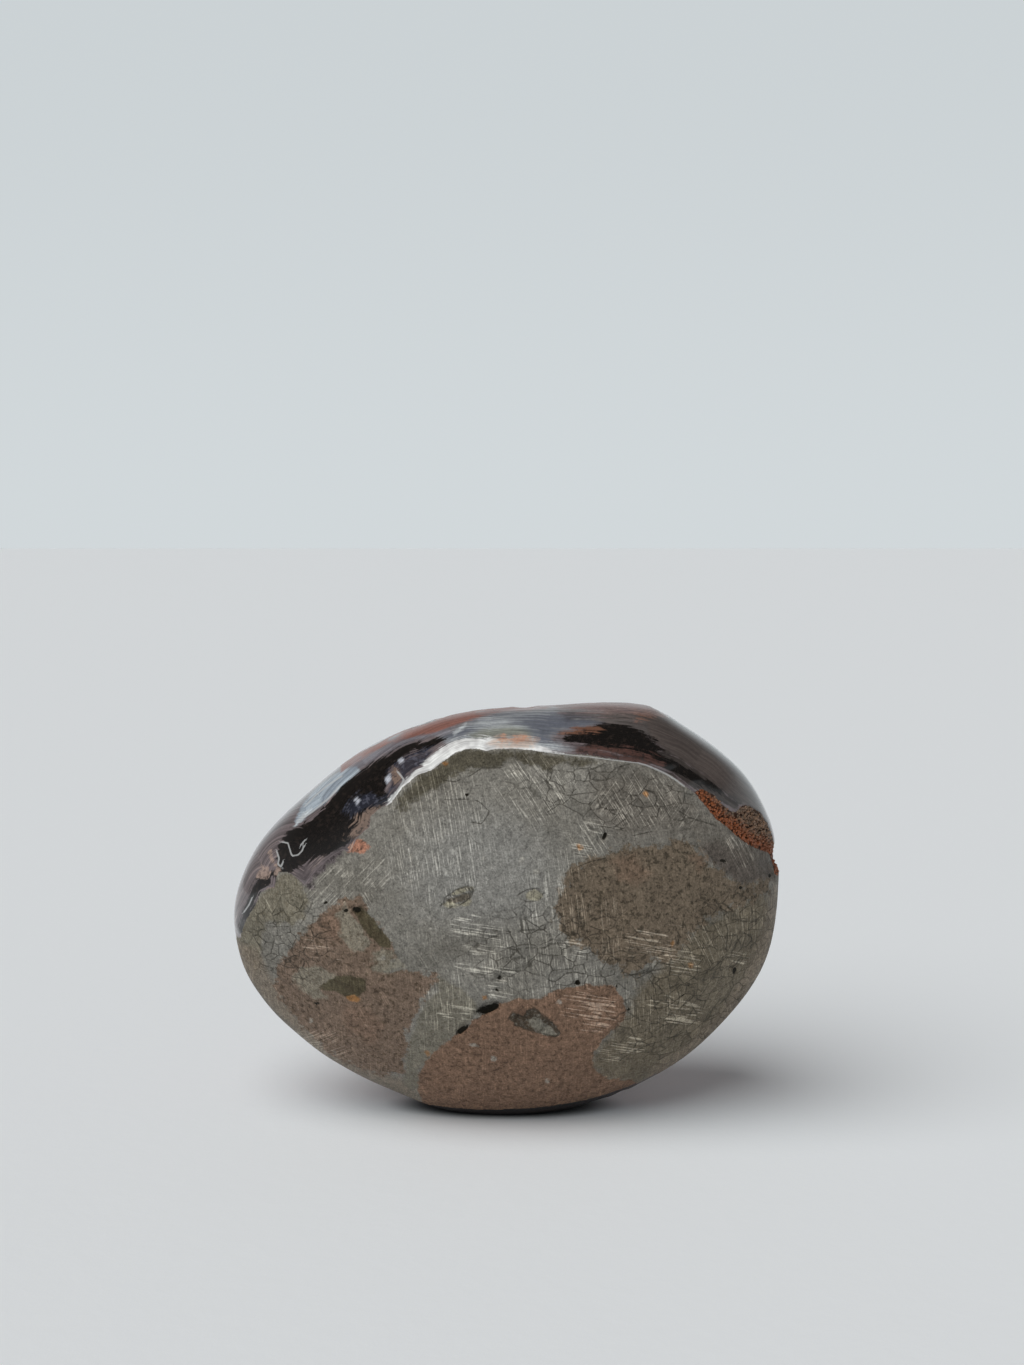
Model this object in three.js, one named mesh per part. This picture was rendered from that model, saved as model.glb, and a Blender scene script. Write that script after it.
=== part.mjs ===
// A polished freeform of red chalcedony that still carries its host rock: one solid stone, standing on edge.
// The chalcedony wraps the crown and the back, and the grey rock shows on the ground front face.
// Millimetres: +X to the right, +Z up, and -Y towards the viewer. The origin lies under the middle of the stone.
import * as THREE from "three";
import { mergeVertices } from "three/addons/utils/BufferGeometryUtils.js";

const { clamp, degToRad, lerp, smoothstep } = THREE.MathUtils;

// Driving dimensions
const HALF_WIDTH = 32;
const HALF_HEIGHT = 24;
const FRONT_DEPTH = 13;
const BACK_DEPTH = 19;
const CENTRE = new THREE.Vector3(0, (FRONT_DEPTH - BACK_DEPTH) / 2, HALF_HEIGHT);

// How full the two domes are: 2 is an ellipse, and a higher number is flatter in the middle
const FRONT_FULLNESS = { foot: 1.65, crown: 2.7 };
const BACK_FULLNESS = { foot: 3.3, crown: 2.1 };

// The widest section, seen from the front, anticlockwise from the right-hand end as [x, z]
const OUTLINE = [
  [31.8, 27.5],
  [30.5, 35.0],
  [27.0, 41.0],
  [21.4, 45.3],
  [16.2, 48.2],
  [6.0, 48.1],
  [-4.0, 47.5],
  [-13.5, 44.5],
  [-21.8, 38.9],
  [-28.9, 31.5],
  [-31.6, 24.5],
  [-30.4, 16.7],
  [-24.4, 9.4],
  [-15.7, 3.8],
  [-7.5, 0.55],
  [0.0, -0.35],
  [8.0, 0.6],
  [16.5, 3.9],
  [24.5, 9.3],
  [30.4, 17.6],
];

// Flats left by hand grinding: which way each faces, how far it lies from the centre, and how crisp its edge is
const FLATS = [
  { name: "rear bevel of the crown", facing: [-0.08, 0.5, 0.86], distance: 21.6, crispness: 70 },
  { name: "front, lower left", facing: [-0.5, -0.78, -0.38], distance: 19.4, crispness: 40 },
  { name: "front, lower right", facing: [0.6, -0.66, -0.45], distance: 21.9, crispness: 40 },
  { name: "back, upper left", facing: [-0.42, 0.78, 0.46], distance: 22.5, crispness: 30 },
  { name: "back, lower right", facing: [0.5, 0.8, -0.34], distance: 22.9, crispness: 30 },
];

// Slow waves that the grinding left in the surface, in millimetres and in radians for each millimetre
const WAVES = [
  { height: 0.07, along: [0.21, 0.1, 0.33], start: 0.4 },
  { height: 0.05, along: [-0.46, 0.3, 0.29], start: 2.1 },
  { height: 0.03, along: [0.62, -0.2, -0.74], start: 4.0 },
];

// Where the rock gives way to chalcedony on the front, left to right as [x, z]
const CONTACT = [
  [-30.4, 21.9],
  [-27.7, 27.5],
  [-25.5, 30.0],
  [-22.3, 28.9],
  [-18.0, 33.0],
  [-15.0, 36.7],
  [-9.8, 41.2],
  [-4.4, 44.0],
  [6.1, 43.6],
  [11.8, 43.1],
  [16.4, 41.9],
  [21.6, 38.5],
  [27.8, 33.0],
  [30.8, 29.9],
];
const CONTACT_STEP = { depth: 0.22, halfWidth: 0.55 };

// Open pits in the ground front: middle [x, z], half length and half width, tilt in degrees, and depth
const PITS = [
  { name: "long black pit", at: [-2.1, 15.5], half: [1.7, 0.65], tilt: 25, depth: 0.9 },
  { name: "slanting pit", at: [-4.9, 12.9], half: [1.2, 0.5], tilt: 45, depth: 0.6 },
  { name: "oval pit", at: [-0.4, 19.2], half: [0.9, 0.7], tilt: 0, depth: 0.6 },
  { name: "round pit below it", at: [-0.7, 17.8], half: [0.6, 0.6], tilt: 0, depth: 0.5 },
  { name: "crystal pocket, left half", at: [2.3, 14.1], half: [2.0, 1.1], tilt: -24, depth: 0.8 },
  { name: "crystal pocket, right half", at: [4.9, 13.0], half: [1.6, 1.0], tilt: -30, depth: 0.7 },
  { name: "upright pit", at: [10.7, 34.8], half: [0.8, 0.45], tilt: 70, depth: 0.6 },
  { name: "pit by the right side", at: [25.9, 18.6], half: [0.6, 0.4], tilt: 75, depth: 0.5 },
  { name: "small pit", at: [8.0, 18.4], half: [0.5, 0.45], tilt: 0, depth: 0.4 },
  { name: "pit above the olive groove", at: [-16.2, 26.4], half: [0.8, 0.5], tilt: -15, depth: 0.5 },
  { name: "olive groove", at: [-14.4, 24.5], half: [2.9, 0.9], tilt: -48, depth: 0.35 },
];

// The open seam of small crystals on the right shoulder, from its upper end as [x, z]
const SEAM = {
  line: [
    [21.4, 39.0],
    [24.0, 37.3],
    [27.0, 35.0],
    [29.4, 32.6],
    [30.9, 30.6],
  ],
  halfWidth: 1.5,
  depth: 0.8,
};

// Chips broken out of the arris along the crown and out of the lower right side
const CHIPS = [
  { name: "crown, left", at: [-7.4, -2.4, 46.8], radius: 0.8, depth: 0.2 },
  { name: "crown, middle", at: [2.3, -1.6, 48.1], radius: 1.3, depth: 0.3 },
  { name: "beside the corner", at: [17.9, -2.2, 47.4], radius: 1.0, depth: 0.35 },
  { name: "lower right side", at: [13.2, -4.5, 3.4], radius: 1.4, depth: 0.4 },
];

// Cells of the even grid along each side, and how close to a mark its cells are halved
const GRID = { x: 30, y: 14, z: 24 };
const FINE_MARGIN = 0.8;
const FINEST_MARGIN = 0.35;

const STONE_FINISH = { color: 0x7b7872, roughness: 0.6, metalness: 0 };

// The outline as angle and radius about the centre
const outlineSamples = new THREE.CatmullRomCurve3(
  OUTLINE.map(([x, z]) => new THREE.Vector3(x - CENTRE.x, 0, z - CENTRE.z)),
  true,
  "centripetal",
)
  .getPoints(720)
  .slice(0, -1)
  .map((point) => ({ angle: Math.atan2(point.z, point.x), radius: Math.hypot(point.x, point.z) }))
  .sort((one, other) => one.angle - other.angle);

function outlineRadius(angle) {
  const after = Math.max(0, outlineSamples.findIndex((sample) => sample.angle > angle));
  const next = outlineSamples[after];
  const last = outlineSamples[(after + outlineSamples.length - 1) % outlineSamples.length];
  const turn = 2 * Math.PI;
  const share = ((angle - last.angle + turn) % turn) / ((next.angle - last.angle + turn) % turn);
  return lerp(last.radius, next.radius, share);
}

// Distance from [x, z] to an open line of [x, z] points
function distanceToLine(x, z, line) {
  let nearest = Infinity;
  for (let i = 1; i < line.length; i++) {
    const [startX, startZ] = line[i - 1];
    const runX = line[i][0] - startX;
    const runZ = line[i][1] - startZ;
    const along = ((x - startX) * runX + (z - startZ) * runZ) / (runX ** 2 + runZ ** 2);
    const share = clamp(along, 0, 1);
    nearest = Math.min(nearest, Math.hypot(x - startX - share * runX, z - startZ - share * runZ));
  }
  return nearest;
}

// Positive on the rock's side of the contact and negative on the chalcedony's
function distanceBelowContact(x, z) {
  const after = clamp(CONTACT.findIndex(([contactX]) => contactX > x), 1, CONTACT.length - 1);
  const [startX, startZ] = CONTACT[after - 1];
  const [endX, endZ] = CONTACT[after];
  const contactZ = lerp(startZ, endZ, clamp((x - startX) / (endX - startX), 0, 1));
  return Math.sign(contactZ - z) * distanceToLine(x, z, CONTACT);
}

// 0 in the middle of a pit and 1 at its rim
function pitReach(x, z, { at, half, tilt }) {
  const turn = degToRad(tilt);
  const offX = x - at[0];
  const offZ = z - at[1];
  const along = offX * Math.cos(turn) + offZ * Math.sin(turn);
  const across = offZ * Math.cos(turn) - offX * Math.sin(turn);
  return Math.hypot(along / half[0], across / half[1]);
}

function chipReach({ x, y, z }, { at, radius }) {
  return Math.hypot(x - at[0], (y - at[1]) / 2, z - at[2]) / radius;
}

// A smooth bowl: 1 in the middle and 0 from the rim outwards
function bowl(reach) {
  return (1 - Math.min(1, reach) ** 2) ** 1.5;
}

// How far grinding, breakage and open pits lower the surface at a point
function reliefDepth(point) {
  const { x, y, z } = point;
  let depth = 0;
  for (const { height, along, start } of WAVES) {
    depth += height * Math.sin(along[0] * x + along[1] * y + along[2] * z + start);
  }
  for (const chip of CHIPS) depth += chip.depth * bowl(chipReach(point, chip));
  if (y > CENTRE.y) return depth;
  const { halfWidth } = CONTACT_STEP;
  const onFront = smoothstep(CENTRE.y - y, 0, 3);
  depth += onFront * CONTACT_STEP.depth * smoothstep(distanceBelowContact(x, z), -halfWidth, halfWidth);
  depth += SEAM.depth * bowl(distanceToLine(x, z, SEAM.line) / SEAM.halfWidth);
  for (const pit of PITS) depth += pit.depth * bowl(pitReach(x, z, pit));
  return depth;
}

// The body before pits, where a line from the centre along a direction meets it
function bodyReach(direction) {
  const isFront = direction.y < 0;
  const depth = isFront ? FRONT_DEPTH : BACK_DEPTH;
  const { foot, crown } = isFront ? FRONT_FULLNESS : BACK_FULLNESS;
  const fullness = lerp(foot, crown, (1 + direction.z) / 2);
  const reach = new THREE.Vector3(HALF_WIDTH, depth, HALF_HEIGHT).multiply(direction);
  const across = Math.hypot(reach.x, reach.z) / outlineRadius(Math.atan2(reach.z, reach.x));
  const along = Math.abs(reach.y) / depth;
  reach.divideScalar((across ** fullness + along ** fullness) ** (1 / fullness));
  for (const { facing, distance, crispness } of FLATS) {
    const share = new THREE.Vector3(...facing).normalize().dot(reach) / distance;
    if (share > 0) reach.divideScalar((1 + share ** crispness) ** (1 / crispness));
  }
  return reach;
}

function surfacePoint(direction) {
  const reach = bodyReach(direction);
  const depth = reliefDepth(reach.clone().add(CENTRE));
  reach.setLength(reach.length() - depth);
  const toRestingFlat = -CENTRE.z / reach.z;
  if (toRestingFlat > 0 && toRestingFlat < 1) reach.multiplyScalar(toRestingFlat);
  return reach.add(CENTRE);
}

// True where the grid has to be finer than its even cells, within `margin` of a mark
function needsFineCells({ x, y, z }, margin) {
  if (CHIPS.some((chip) => chipReach({ x, y, z }, chip) * chip.radius < chip.radius + margin)) return true;
  if (y > CENTRE.y) return false;
  if (distanceToLine(x, z, SEAM.line) < SEAM.halfWidth + margin) return true;
  return PITS.some((pit) => (pitReach(x, z, pit) - 1) * pit.half[1] < margin);
}

function isNearContact({ x, y, z }) {
  return y < CENTRE.y && Math.abs(distanceBelowContact(x, z)) < FINE_MARGIN;
}

function isNearFoot({ z }) {
  return z < FINE_MARGIN;
}

// A box grid blown up to a sphere: even cells, and no pole on the polished back
function evenGrid() {
  const box = new THREE.BoxGeometry(2, 2, 2, GRID.x, GRID.y, GRID.z);
  box.deleteAttribute("normal");
  box.deleteAttribute("uv");
  const grid = mergeVertices(box);
  const directions = [];
  const corner = new THREE.Vector3();
  for (let i = 0; i < grid.attributes.position.count; i++) {
    corner.fromBufferAttribute(grid.attributes.position, i);
    const even = corner.toArray().map((side) => Math.tan((side * Math.PI) / 4));
    directions.push(new THREE.Vector3(...even).normalize());
  }
  return { directions, index: Array.from(grid.index.array) };
}

// One triangle cut at the middles of its sides, where a middle that isn't wanted is null
function splitTriangle([a, b, c], [ab, bc, ca]) {
  if (ab === null && bc === null && ca === null) return [a, b, c];
  if (ab !== null && bc !== null && ca !== null) return [a, ab, ca, ab, b, bc, ca, bc, c, ab, bc, ca];
  if (ab === null || ca !== null) return splitTriangle([b, c, a], [bc, ca, ab]);
  if (bc === null) return [a, ab, c, ab, b, c];
  return [ab, b, bc, a, ab, bc, a, bc, c];
}

// Halves each edge whose middle is wanted, and cuts the triangles beside it to match
function refine({ directions, index }, isWanted) {
  const middles = new Map();
  const middleOf = (one, other) => {
    const key = [Math.min(one, other), Math.max(one, other)].join();
    if (!middles.has(key)) {
      const middle = directions[one].clone().add(directions[other]).normalize();
      const wanted = isWanted(bodyReach(middle).add(CENTRE));
      middles.set(key, wanted ? directions.push(middle) - 1 : null);
    }
    return middles.get(key);
  };
  const finer = [];
  for (let i = 0; i < index.length; i += 3) {
    const corners = index.slice(i, i + 3);
    const cuts = corners.map((corner, side) => middleOf(corner, corners[(side + 1) % 3]));
    finer.push(...splitTriangle(corners, cuts));
  }
  return { directions, index: finer };
}

function makeStone() {
  let grid = evenGrid();
  grid = refine(grid, (point) => needsFineCells(point, FINE_MARGIN) || isNearContact(point) || isNearFoot(point));
  grid = refine(grid, (point) => needsFineCells(point, FINEST_MARGIN));
  const geometry = new THREE.BufferGeometry().setFromPoints(grid.directions.map(surfacePoint));
  geometry.setIndex(grid.index);
  geometry.computeBoundingBox();
  const middle = geometry.boundingBox.getCenter(new THREE.Vector3());
  geometry.translate(-middle.x, -middle.y, 0);
  geometry.computeVertexNormals();
  const stone = new THREE.Mesh(geometry, new THREE.MeshStandardMaterial(STONE_FINISH));
  stone.name = "stone";
  return stone;
}

const chalcedony = new THREE.Group();
chalcedony.add(makeStone());

export default chalcedony;
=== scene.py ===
"""Looks of the red chalcedony, a polished stone on its edge.

The front is grey host rock, with chalcedony over the top and behind. The form comes from the frame's solid,
refined here with pits, grains and chips. The markings are kept on the mesh as distances, which the material
turns into rock, bands, crust and crystals.
"""

import logging
import math
import random
from dataclasses import dataclass, field
from enum import Enum

import bpy
import numpy as np
from mathutils import Matrix, Vector, kdtree, noise
from mathutils.bvhtree import BVHTree

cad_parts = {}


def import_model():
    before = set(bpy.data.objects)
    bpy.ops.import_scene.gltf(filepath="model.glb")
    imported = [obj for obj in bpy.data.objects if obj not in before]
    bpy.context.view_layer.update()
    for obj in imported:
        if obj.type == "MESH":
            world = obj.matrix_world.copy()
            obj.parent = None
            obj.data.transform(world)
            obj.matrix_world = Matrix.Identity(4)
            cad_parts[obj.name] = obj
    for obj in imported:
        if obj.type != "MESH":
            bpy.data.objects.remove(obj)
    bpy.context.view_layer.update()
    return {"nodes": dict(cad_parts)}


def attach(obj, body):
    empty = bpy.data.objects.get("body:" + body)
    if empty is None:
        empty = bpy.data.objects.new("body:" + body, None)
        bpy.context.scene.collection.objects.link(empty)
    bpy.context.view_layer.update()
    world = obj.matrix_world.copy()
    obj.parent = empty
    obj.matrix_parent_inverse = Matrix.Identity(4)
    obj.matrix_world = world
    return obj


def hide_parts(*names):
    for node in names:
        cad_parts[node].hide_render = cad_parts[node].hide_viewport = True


LOG = logging.getLogger("red_chalcedony")
MM = 0.001

# What the mesh carries where a patch, or a thin line, is nowhere near
OUTSIDE = -9.0
FAR_OFF = 99.0

CLOUD_ROUGHNESS = 0.62

Triple = tuple[float, float, float]
Colour = Triple
Span = tuple[float, float]
Points = tuple[tuple[float, float], ...]


class Mark(Enum):
    """Named numbers that the stone's mesh carries for its material, besides its patches."""

    CONTACT = "contact"
    FLOW = "flow"
    SEEN = "seen"
    SEAM = "seam"
    SEAM_RISE = "seam_rise"
    PIT = "pit"
    CRACK_SIDE = "crack_side"
    CRACK_NEAR = "crack_near"
    VEIN_SIDE = "vein_side"
    VEIN_NEAR = "vein_near"
    FLAT_STROKES = "flat_strokes"
    STEEP_STROKES = "steep_strokes"
    SLANTED_STROKES = "slanted_strokes"
    RISING_STROKES = "rising_strokes"
    CELLS = "cells"
    # Where a painted sheen stands in for a reflection of the light.
    SHEEN = "sheen"


class Grain(Enum):
    """What the inside of a patch looks like."""

    SPECKLED = "speckled"
    STREAKED = "streaked"
    CLOUDY = "cloudy"


@dataclass(frozen=True)
class PhotoView:
    """The place and lens of the camera that looks at the stone's ground front."""

    position: Vector = Vector((0.0007, -0.213, 0.0685))
    pitch_degrees: float = 4.83
    focal_pixels: float = 1825.0
    wide: int = 1024
    high: int = 1365
    sensor_mm: float = 36.0
    near_clip: float = 0.01
    front_distance: float = 0.206

    def axes(self) -> tuple[np.ndarray, np.ndarray, np.ndarray]:
        """Works out which way the camera is turned.

        Returns:
            Its right, up and forward directions.
        """
        pitch = math.radians(self.pitch_degrees)
        right = np.array([1.0, 0.0, 0.0])
        up = np.array([0.0, math.sin(pitch), math.cos(pitch)])
        forward = np.array([0.0, math.cos(pitch), -math.sin(pitch)])
        return right, up, forward

    def project(self, places: np.ndarray) -> np.ndarray:
        """Finds where places fall in the picture.

        Args:
            places: Rows of x, y, z in metres.

        Returns:
            Rows of column and row in the picture, in its pixels.
        """
        right, up, forward = self.axes()
        offset = places - np.array(self.position)
        depth = offset @ forward
        column = self.wide / 2 + self.focal_pixels * (offset @ right) / depth
        row = self.high / 2 - self.focal_pixels * (offset @ up) / depth
        return np.stack([column, row], axis=1)

    def ray(self, column: float, row: float) -> Vector:
        """Finds the direction in which a pixel looks.

        Args:
            column: The pixel's column.
            row: The pixel's row.

        Returns:
            The direction, of unit length.
        """
        right, up, forward = self.axes()
        across = (column - self.wide / 2) / self.focal_pixels
        rise = (self.high / 2 - row) / self.focal_pixels
        return Vector(forward + right * across + up * rise).normalized()

    def seen(self, places: np.ndarray, normals: np.ndarray) -> np.ndarray:
        """Measures how squarely each place faces the camera.

        Args:
            places: Rows of x, y, z in metres.
            normals: Which way the surface faces there.

        Returns:
            Numbers from 1, facing it, down to -1.
        """
        to_camera = np.array(self.position) - places
        to_camera /= np.linalg.norm(to_camera, axis=1)[:, None]
        return np.einsum("ij,ij->i", normals, to_camera)

    def pixels_per_mm(self) -> float:
        """Returns how many pixels a millimetre of the stone's front takes."""
        return self.focal_pixels * MM / self.front_distance

    def make_camera(self) -> None:
        """Makes the scene's camera."""
        turn = (math.radians(90 - self.pitch_degrees), 0, 0)
        bpy.ops.object.camera_add(location=self.position, rotation=turn)
        camera = bpy.context.object
        camera.name = "camera"
        camera.data.sensor_width = self.sensor_mm
        camera.data.lens = self.focal_pixels * camera.data.sensor_width / self.high
        camera.data.clip_start = self.near_clip
        bpy.context.scene.camera = camera


def distance_inside(places: np.ndarray, outline: Points) -> np.ndarray:
    """Measures how far inside a closed outline each place is.

    Args:
        places: Rows of column and row.
        outline: The outline's corners in order.

    Returns:
        Distances, positive inside the outline and negative outside it.
    """
    corners = np.array(outline, dtype=float)
    nearest = np.full(len(places), np.inf)
    inside = np.zeros(len(places), dtype=bool)
    for start, end in zip(corners, np.roll(corners, -1, axis=0)):
        run = end - start
        share = np.clip(((places - start) @ run) / (run @ run), 0, 1)
        gap = np.linalg.norm(places - start - share[:, None] * run, axis=1)
        nearest = np.minimum(nearest, gap)
        crosses = (start[1] > places[:, 1]) != (end[1] > places[:, 1])
        if run[1]:
            reached = start[0] + run[0] * (places[:, 1] - start[1]) / run[1]
            inside ^= crosses & (places[:, 0] < reached)
    return np.where(inside, nearest, -nearest)


@dataclass(frozen=True)
class Line:
    """A thin line on the front: its points in the picture and half its width in pixels."""

    points: Points
    half_width: float = 0.8


def distance_beside(places: np.ndarray, lines: tuple[Line, ...]) -> tuple[np.ndarray, np.ndarray]:
    """Measures how far beside the nearest thin line each place is.

    Args:
        places: Rows of column and row.
        lines: The lines.

    Returns:
        Distances in half widths, with a sign for the side, and distances in pixels without one.
    """
    side = np.full(len(places), FAR_OFF)
    nearest = np.full(len(places), np.inf)
    for line in lines:
        corners = np.array(line.points, dtype=float)
        for start, end in zip(corners[:-1], corners[1:]):
            run = end - start
            offset = places - start
            share = np.clip((offset @ run) / (run @ run), 0, 1)
            gap = np.linalg.norm(offset - share[:, None] * run, axis=1)
            sign = np.where(run[0] * offset[:, 1] - run[1] * offset[:, 0] > 0, 1.0, -1.0)
            closer = gap < nearest
            side = np.where(closer, sign * gap / line.half_width, side)
            nearest = np.where(closer, gap, nearest)
    return side, nearest


@dataclass(frozen=True)
class Blob:
    """A soft oval on the front, by its middle, half length, half width and tilt in the picture."""

    middle: tuple[float, float]
    half: tuple[float, float]
    tilt: float = 0.0

    def reach(self, places: np.ndarray) -> np.ndarray:
        """Measures how far out in the oval each place is.

        Args:
            places: Rows of column and row.

        Returns:
            0 in the oval's middle and 1 at its rim.
        """
        turn = math.radians(self.tilt)
        offset = places - np.array(self.middle)
        along = offset[:, 0] * math.cos(turn) - offset[:, 1] * math.sin(turn)
        across = offset[:, 0] * math.sin(turn) + offset[:, 1] * math.cos(turn)
        return np.hypot(along / self.half[0], across / self.half[1])

    def mask(self, places: np.ndarray) -> np.ndarray:
        """Returns 1 in the oval's middle fifth, falling to 0 at its rim."""
        fall = 1.25
        return np.clip(fall * (1 - self.reach(places)), 0, 1)


@dataclass(frozen=True)
class Pit:
    """An open pit in the ground front: its oval, its extra depth in millimetres and how dark it is."""

    oval: Blob
    depth: float
    dark: float = 1.0


@dataclass(frozen=True)
class Patch:
    """A patch of one tone on the front.

    Its outlines are in the picture's pixels, and softness and fray of its edge are in millimetres.
    """

    name: str
    outlines: tuple[Points, ...]
    colour: Colour
    second: Colour
    softness: float = 0.15
    fray: float = 0.6
    strength: float = 0.95
    grain: Grain = Grain.SPECKLED


@dataclass(frozen=True)
class Scratches:
    """A group of parallel sanding scratches.

    Its fall to the right is in degrees, and its pitch and length are in millimetres. Fray and edge say how
    far it runs over the edge of its ovals.
    """

    mark: Mark
    fall: float
    pitch: float
    length: float
    bold: float
    fray: float
    edge: Span


POCKET_OUTLINE: Points = (
    (509, 1018), (513, 1012), (519, 1015), (524, 1017), (527, 1011), (534, 1008), (540, 1013), (548, 1019),
    (555, 1025), (560, 1033), (555, 1037), (545, 1034), (534, 1032), (525, 1029), (515, 1025),
)

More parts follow.
